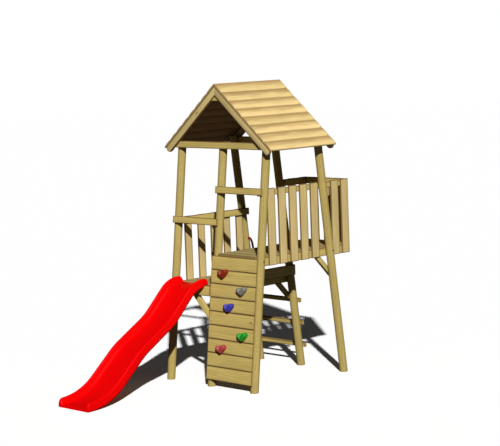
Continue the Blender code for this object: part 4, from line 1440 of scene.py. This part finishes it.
def slide_section(width, rim, bed, skirt_foot, filled):
    """Closed cross-section (across, up) of the slide's shell."""
    half = width / 2
    rise = (SLIDE_HEIGHT - SLIDE_BED_HEIGHT) * rim
    crest = bed + rise
    inner = half - SLIDE_RIM_WIDTH
    points = [(half, skirt_foot)]
    for across, down in SLIDE_RIM_CURVE:
        points.append((half - across * SLIDE_RIM_WIDTH, crest - down * rise))
    for across, up in SLIDE_FLANK_CURVE:
        points.append((inner - across * SLIDE_FLANK_WIDTH, bed + up * rise))
    outside = smooth_line(points, 4)
    inside = []
    for i, here in enumerate(outside):
        ahead = outside[min(i + 1, len(outside) - 1)]
        behind = outside[max(i - 1, 0)]
        run = (ahead - behind).normalized()
        if i in (0, len(outside) - 1):
            run = Vector((0, 1)) if i == 0 else Vector((-1, 0))
        inside.append(here + Vector((-run.y, run.x)) * SLIDE_WALL)
    if filled:
        edge = inside[0].x
        inside = [Vector((min(p.x, edge - TOUCH * i), skirt_foot)) for i, p in enumerate(inside)]
    mirrored = [Vector((-p.x, p.y)) for p in outside[::-1]]
    under = [Vector((-p.x, p.y)) for p in inside] + inside[::-1]
    return outside + mirrored + under


def rounded_rim(least, share):
    """Height of the rim at a share of its rounding, where the full height is 1."""
    return least + (1 - least) * sqrt(1 - (1 - share) ** 2)


def slide_rings(bm):
    """Vertices of the shell's cross-section at each point of the path."""
    path, deck_front = slide_path()
    lengths = [0.0]
    for a, b in zip(path, path[1:]):
        lengths.append(lengths[-1] + (b - a).length)
    middle = node_centre("slide").x
    skirt = SLIDE_BED_HEIGHT - SLIDE_WALL
    last = len(path) - 1
    rings = []
    for i, (point, length) in enumerate(zip(path, lengths)):
        along = (path[min(i + 1, last)] - path[max(i - 1, 0)]).normalized()
        up = Vector((along.y, -along.x))
        if i == 0 or i >= last - SLIDE_END_STEPS - 1:
            up = Vector((0.0, 1.0))
        share = length / lengths[-1]
        width = SLIDE_TOP_WIDTH + (SLIDE_FOOT_WIDTH - SLIDE_TOP_WIDTH) * share
        rim = 1.0
        if length < SLIDE_END_ROUND:
            rim = rounded_rim(SLIDE_END_RIM, length / SLIDE_END_ROUND)
        bed = SLIDE_BED_HEIGHT
        from_foot = (lengths[-1] - length) / SLIDE_FOOT_ROUND
        if from_foot < 1:
            rim = rounded_rim(SLIDE_FOOT_RIM, from_foot)
            bed *= 1 - SLIDE_FOOT_DROP * (1 - from_foot) ** 2
        past_deck = (deck_front - 2 * TOUCH - point.x) / skirt / SLIDE_SKIRT_RUN
        skirt_foot = skirt * (1 - min(max(past_deck, 0.0), 1.0))
        section = slide_section(width, rim, bed, skirt_foot, i >= last - 1)
        spots = [(across, point + up * rise) for across, rise in section]
        rings.append([bm.verts.new((middle + across, MIDDLE + spot.x, spot.y))
                      for across, spot in spots])
    return rings


class PLAYHOUSE_OT_slide(bpy.types.Operator):
    """Moulded wave slide with rolled rims"""
    bl_idname = "playhouse.slide"
    bl_label = "Slide"

    def execute(self, context):
        bm = bmesh.new()
        rings = slide_rings(bm)
        bridge(bm, rings)
        bm.faces.new(rings[0])
        bm.faces.new(rings[-1])
        bmesh.ops.recalc_face_normals(bm, faces=bm.faces)
        count = len(rings[0])
        # Points along the skirt's foot edge, which the plastic darkens as painted shade
        at_foot = (0, count // 2 - 1, count // 2, count - 1)
        mesh = mesh_from(bm, "wave_slide")
        store_values(mesh, "foot", [i % count in at_foot for i in range(len(mesh.vertices))])
        colour = context.scene.playhouse_plastic.slide_colour
        plastic = moulded_plastic("slide_red", colour, SLIDE_RUBBED)
        keep(shown("wave_slide", mesh, plastic, SLIDE_SHARP), "slide_plastic", "slide")
        return {"FINISHED"}


# Holds and handles

def heart(angle):
    """Unit-width outline of a squat heart with a deep notch and a blunt foot."""
    x = sin(angle) ** 3
    y = 13 * cos(angle) - 5 * cos(2 * angle) - 2 * cos(3 * angle) - cos(4 * angle)
    blunt = HOLD_BLUNTNESS * (1 - cos(angle)) / 2
    across = ((1 - blunt) * x + blunt * sin(angle)) / 2
    aside = (across + HOLD_NOTCH_ASIDE) / HOLD_NOTCH_WIDTH
    notch = HOLD_NOTCH * exp(-(aside ** 2)) if y > 0 else 0.0
    return across, HOLD_SQUATNESS * (y + 2.5) / 32 - notch


def grip_point(angle, scale):
    """Point of a hold's tilted outline, and the same point before the tilt."""
    u, v = heart(angle)
    u, v = u * HOLD_WIDTH * scale, v * HOLD_WIDTH * scale
    return (u * cos(HOLD_TILT) - v * sin(HOLD_TILT), u * sin(HOLD_TILT) + v * cos(HOLD_TILT),
            u, v)


def grip_mesh(name, where):
    """Domed heart with a valley down from its notch."""
    bm = bmesh.new()
    layers = []
    for k in range(HOLD_RINGS):
        turn = pi / 2 * k / HOLD_RINGS
        share = sin(turn) ** (2 / HOLD_SQUARENESS)
        scale = cos(turn) ** (2 / HOLD_SQUARENESS)
        layer = []
        for i in range(HOLD_STEPS):
            u, v, across, up = grip_point(2 * pi * (i + 0.5) / HOLD_STEPS, scale)
            aside = across / HOLD_VALLEY_WIDTH + HOLD_VALLEY_ASIDE
            sunk = HOLD_VALLEY * share * exp(-(aside ** 2))
            sunk *= min(max(up / (HOLD_VALLEY_FADE * HOLD_WIDTH) + HOLD_VALLEY_LEFT, 0.0), 1.0)
            layer.append(bm.verts.new(where @ Vector((u, v, share * HOLD_DEPTH * (1 - sunk)))))
        layers.append(layer)
    bridge(bm, layers)
    close_with_point(bm, layers[-1], bm.verts.new(where @ Vector((0, 0, HOLD_DEPTH))))
    bm.faces.new(layers[0])
    bmesh.ops.recalc_face_normals(bm, faces=bm.faces)
    return mesh_from(bm, name)


class PLAYHOUSE_OT_holds(bpy.types.Operator):
    """Five moulded climbing holds, each with its screw"""
    bl_idname = "playhouse.holds"
    bl_label = "Climbing holds"

    def execute(self, context):
        outline = [grip_point(radians(degree), 1.0)[:2] for degree in range(360)]
        middle = (min(u for u, v in outline) + max(u for u, v in outline)) / 2
        low = min(v for u, v in outline) * cos(LEAN_ANGLE)
        offset = POST_RADIUS + WALL_THICKNESS + 2 * TOUCH
        fixed = []
        for colour in ("brown", "grey", "blue", "green", "red"):
            node = "hold_" + colour
            foot_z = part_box(node)[0][2] - low
            centre = Vector((node_centre(node).x - middle,
                             MIDDLE - post_y(foot_z) - lean_offset(offset), foot_z))
            where = place(centre, (1, 0, 0), leaning(-1))
            mesh = grip_mesh("grip_" + colour, where)
            piece = shown("grip_" + colour, mesh, hold_resin(colour), HOLD_SHARP)
            keep(piece, node + "_resin", node)
            face = where @ Matrix.Translation((0, 0, HOLD_DEPTH + HOLD_SCREW_RISE))
            fixed.append(one_head(screw_head(), face))
        keep(joined("grip_screws", fixed), "zinc_steel")
        return {"FINISHED"}


def bow_points():
    """Distances out of the post and along it, from one foot of a handle to the other."""
    surface = POST_RADIUS + TOUCH
    foot = surface + HANDLE_GAP
    points = [(foot, HANDLE_LENGTH / 2)]
    for i in range(HANDLE_STEPS + 1):
        angle = pi * i / HANDLE_STEPS
        bow = (HANDLE_REACH - HANDLE_FOOT) * abs(sin(angle)) ** HANDLE_SQUARENESS
        along = HANDLE_LENGTH / 2 * abs(cos(angle)) ** HANDLE_SQUARENESS
        points.append((surface + HANDLE_FOOT + bow, along if angle < pi / 2 else -along))
    points.append((foot, -HANDLE_LENGTH / 2))
    return points


def tube_mesh(points, radius):
    curve = bpy.data.curves.new("tube", "CURVE")
    curve.dimensions = "3D"
    curve.bevel_depth = radius
    curve.bevel_resolution = HANDLE_RESOLUTION
    curve.use_fill_caps = True
    spline = curve.splines.new("POLY")
    spline.points.add(len(points) - 1)
    for spot, point in zip(spline.points, points):
        spot.co = (*point, 1)
    carrier = in_scene("tube", curve)
    graph = bpy.context.evaluated_depsgraph_get()
    mesh = bpy.data.meshes.new_from_object(carrier.evaluated_get(graph))
    bpy.data.objects.remove(carrier)
    return mesh


class PLAYHOUSE_OT_handles(bpy.types.Operator):
    """Bowed grab handles with flat feet, facing each other beside the ladder's exit"""
    bl_idname = "playhouse.handles"
    bl_label = "Grab handles"

    def execute(self, context):
        colour = context.scene.playhouse_plastic.handle_colour
        plastic = moulded_plastic("handle_red", colour, HANDLE_RUBBED)
        up = Vector((0, -sin(LEAN_ANGLE), cos(LEAN_ANGLE)))
        parts = []
        for node, x, side in (("handle_left", -POST_SPACING, 1), ("handle_right", 0.0, -1)):
            height = node_centre(node).z
            base = Vector((x, MIDDLE + post_y(height), height))
            out = Vector((side, 0, 0))
            points = [base + out * reach + up * along for reach, along in bow_points()]
            bow = tube_mesh(points, HANDLE_RADIUS)
            parts.append(shown("handle_bow", bow, plastic, HANDLE_SHARP))
        keep(joined("grab_handles", parts), "slide_plastic", "handle_left", "handle_right")
        return {"FINISHED"}


class PLAYHOUSE_OT_bolts(bpy.types.Operator):
    """Domed bolt heads on the outer posts, at the decks' beams"""
    bl_idname = "playhouse.bolts"
    bl_label = "Bolts"

    def execute(self, context):
        made = []
        for side in (-1, 1):
            for out, beam_top in ((1, UPPER_BEAM_TOP), (-1, LOWER_BEAM_TOP)):
                z = beam_top - BOLT_DROP * BEAM_STOCK[0]
                x = out * (POST_SPACING + POST_RADIUS - BOLT_SINK)
                where = place((x, MIDDLE + side * post_y(z), z), (0, out, 0), (out, 0, 0))
                made.append(one_head(bolt_head(), where))
        keep(joined("post_bolts", made), "zinc_steel")
        return {"FINISHED"}


class PLAYHOUSE_OT_stage(bpy.types.Operator):
    """Plain floor, light from over the viewer's right shoulder, and the photograph's view"""
    bl_idname = "playhouse.stage"
    bl_label = "Stage"

    def execute(self, context):
        stage = context.scene.playhouse_stage
        self.lay_floor(stage)
        self.light(context, stage)
        self.aim_camera(context)
        context.scene.view_settings.view_transform = "Standard"
        return {"FINISHED"}

    def lay_floor(self, stage):
        bm = bmesh.new()
        bmesh.ops.create_grid(bm, x_segments=1, y_segments=1, size=FLOOR_HALF_WIDTH)
        mesh = mesh_from(bm, "floor")
        floor = in_scene("floor", mesh)
        made, graph, shader = new_material("floor_plain")
        made.node_tree.nodes.remove(shader)
        glow = rgba(stage.floor_colour, FLOOR_GLOW)
        shade, bright = [graph.add("ShaderNodeBsdfDiffuse", {"Color": colour})
                         for colour in (glow, rgba(FLOOR_SEEN))]
        graph.choose_for_camera(shade, bright, "Material Output")
        mesh.materials.append(made)

    def light(self, context, stage):
        lamp = bpy.data.lights.new("key", "SUN")
        lamp.energy = stage.sun_strength
        lamp.angle = stage.sun_angle
        key = in_scene("key", lamp)
        towards = -Vector(stage.sun_direction)
        key.rotation_euler = towards.to_track_quat("Z", "Y").to_euler()
        world = bpy.data.worlds.new("studio")
        world.use_nodes = True
        context.scene.world = world
        graph = Graph(world.node_tree)
        fill = world.node_tree.nodes["Background"]
        fill.inputs["Color"].default_value = WHITE
        fill.inputs["Strength"].default_value = stage.fill_strength
        white = graph.add("ShaderNodeBackground", {"Color": WHITE, "Strength": 1.0})
        graph.choose_for_camera(fill, white, "World Output")

    def aim_camera(self, context):
        back = Vector((sin(VIEW_AZIMUTH) * cos(VIEW_ELEVATION),
                       -cos(VIEW_AZIMUTH) * cos(VIEW_ELEVATION), sin(VIEW_ELEVATION)))
        level = Vector((cos(VIEW_AZIMUTH), sin(VIEW_AZIMUTH), 0))
        up = back.cross(level)
        right = level * cos(VIEW_ROLL) + up * sin(VIEW_ROLL)
        up = up * cos(VIEW_ROLL) - level * sin(VIEW_ROLL)
        camera = bpy.data.cameras.new("camera")
        camera.sensor_width = SENSOR_WIDTH
        camera.sensor_fit = "HORIZONTAL"
        camera.lens = FOCAL_LENGTH_PX / FRAME_WIDTH_PX * SENSOR_WIDTH
        camera.clip_end = VIEW_CLIP
        eye = in_scene("camera", camera)
        turned = Matrix((right, up, back)).transposed().to_4x4()
        turned.translation = (Vector((0, MIDDLE, VIEW_AIM_HEIGHT)) + back * VIEW_DISTANCE
                              + right * VIEW_ASIDE + up * VIEW_RAISE)
        eye.matrix_world = turned
        context.scene.camera = eye


class PLAYHOUSE_PT_panel(bpy.types.Panel):
    """Lists the playhouse's pieces in the sidebar"""
    bl_label = "Playhouse"
    bl_idname = "PLAYHOUSE_PT_panel"
    bl_space_type = "VIEW_3D"
    bl_region_type = "UI"
    bl_category = "Playhouse"

    def draw(self, context):
        for group in GROUPS:
            settings = getattr(context.scene, group)
            box = self.layout.box()
            for name in settings.bl_rna.properties.keys():
                if name not in ("rna_type", "name"):
                    box.prop(settings, name)
        for operator in OPERATORS:
            self.layout.operator(operator.bl_idname)


GROUPS = {
    "playhouse_timber": PlayhouseTimber,
    "playhouse_plastic": PlayhousePlastic,
    "playhouse_fixings": PlayhouseFixings,
    "playhouse_stage": PlayhouseStage,
}
OPERATORS = (
    PLAYHOUSE_OT_stage,
    PLAYHOUSE_OT_posts,
    PLAYHOUSE_OT_front_rails,
    PLAYHOUSE_OT_climbing_wall,
    PLAYHOUSE_OT_ladder,
    PLAYHOUSE_OT_roof_frame,
    PLAYHOUSE_OT_roof_boards,
    PLAYHOUSE_OT_lower_deck,
    PLAYHOUSE_OT_upper_deck,
    PLAYHOUSE_OT_riser,
    PLAYHOUSE_OT_braces,
    PLAYHOUSE_OT_left_fence,
    PLAYHOUSE_OT_right_fence,
    PLAYHOUSE_OT_balcony_fence,
    PLAYHOUSE_OT_slide,
    PLAYHOUSE_OT_holds,
    PLAYHOUSE_OT_handles,
    PLAYHOUSE_OT_bolts,
)


def register():
    for group in GROUPS.values():
        bpy.utils.register_class(group)
    for operator in OPERATORS:
        bpy.utils.register_class(operator)
    bpy.utils.register_class(PLAYHOUSE_PT_panel)
    for name, group in GROUPS.items():
        setattr(bpy.types.Scene, name, PointerProperty(type=group))


def unregister():
    for name in GROUPS:
        delattr(bpy.types.Scene, name)
    bpy.utils.unregister_class(PLAYHOUSE_PT_panel)
    for operator in reversed(OPERATORS):
        bpy.utils.unregister_class(operator)
    for group in reversed(GROUPS.values()):
        bpy.utils.unregister_class(group)


def main():
    register()
    for operator in OPERATORS:
        module, action = operator.bl_idname.split(".")
        getattr(getattr(bpy.ops, module), action)()


if __name__ == "__main__":
    main()
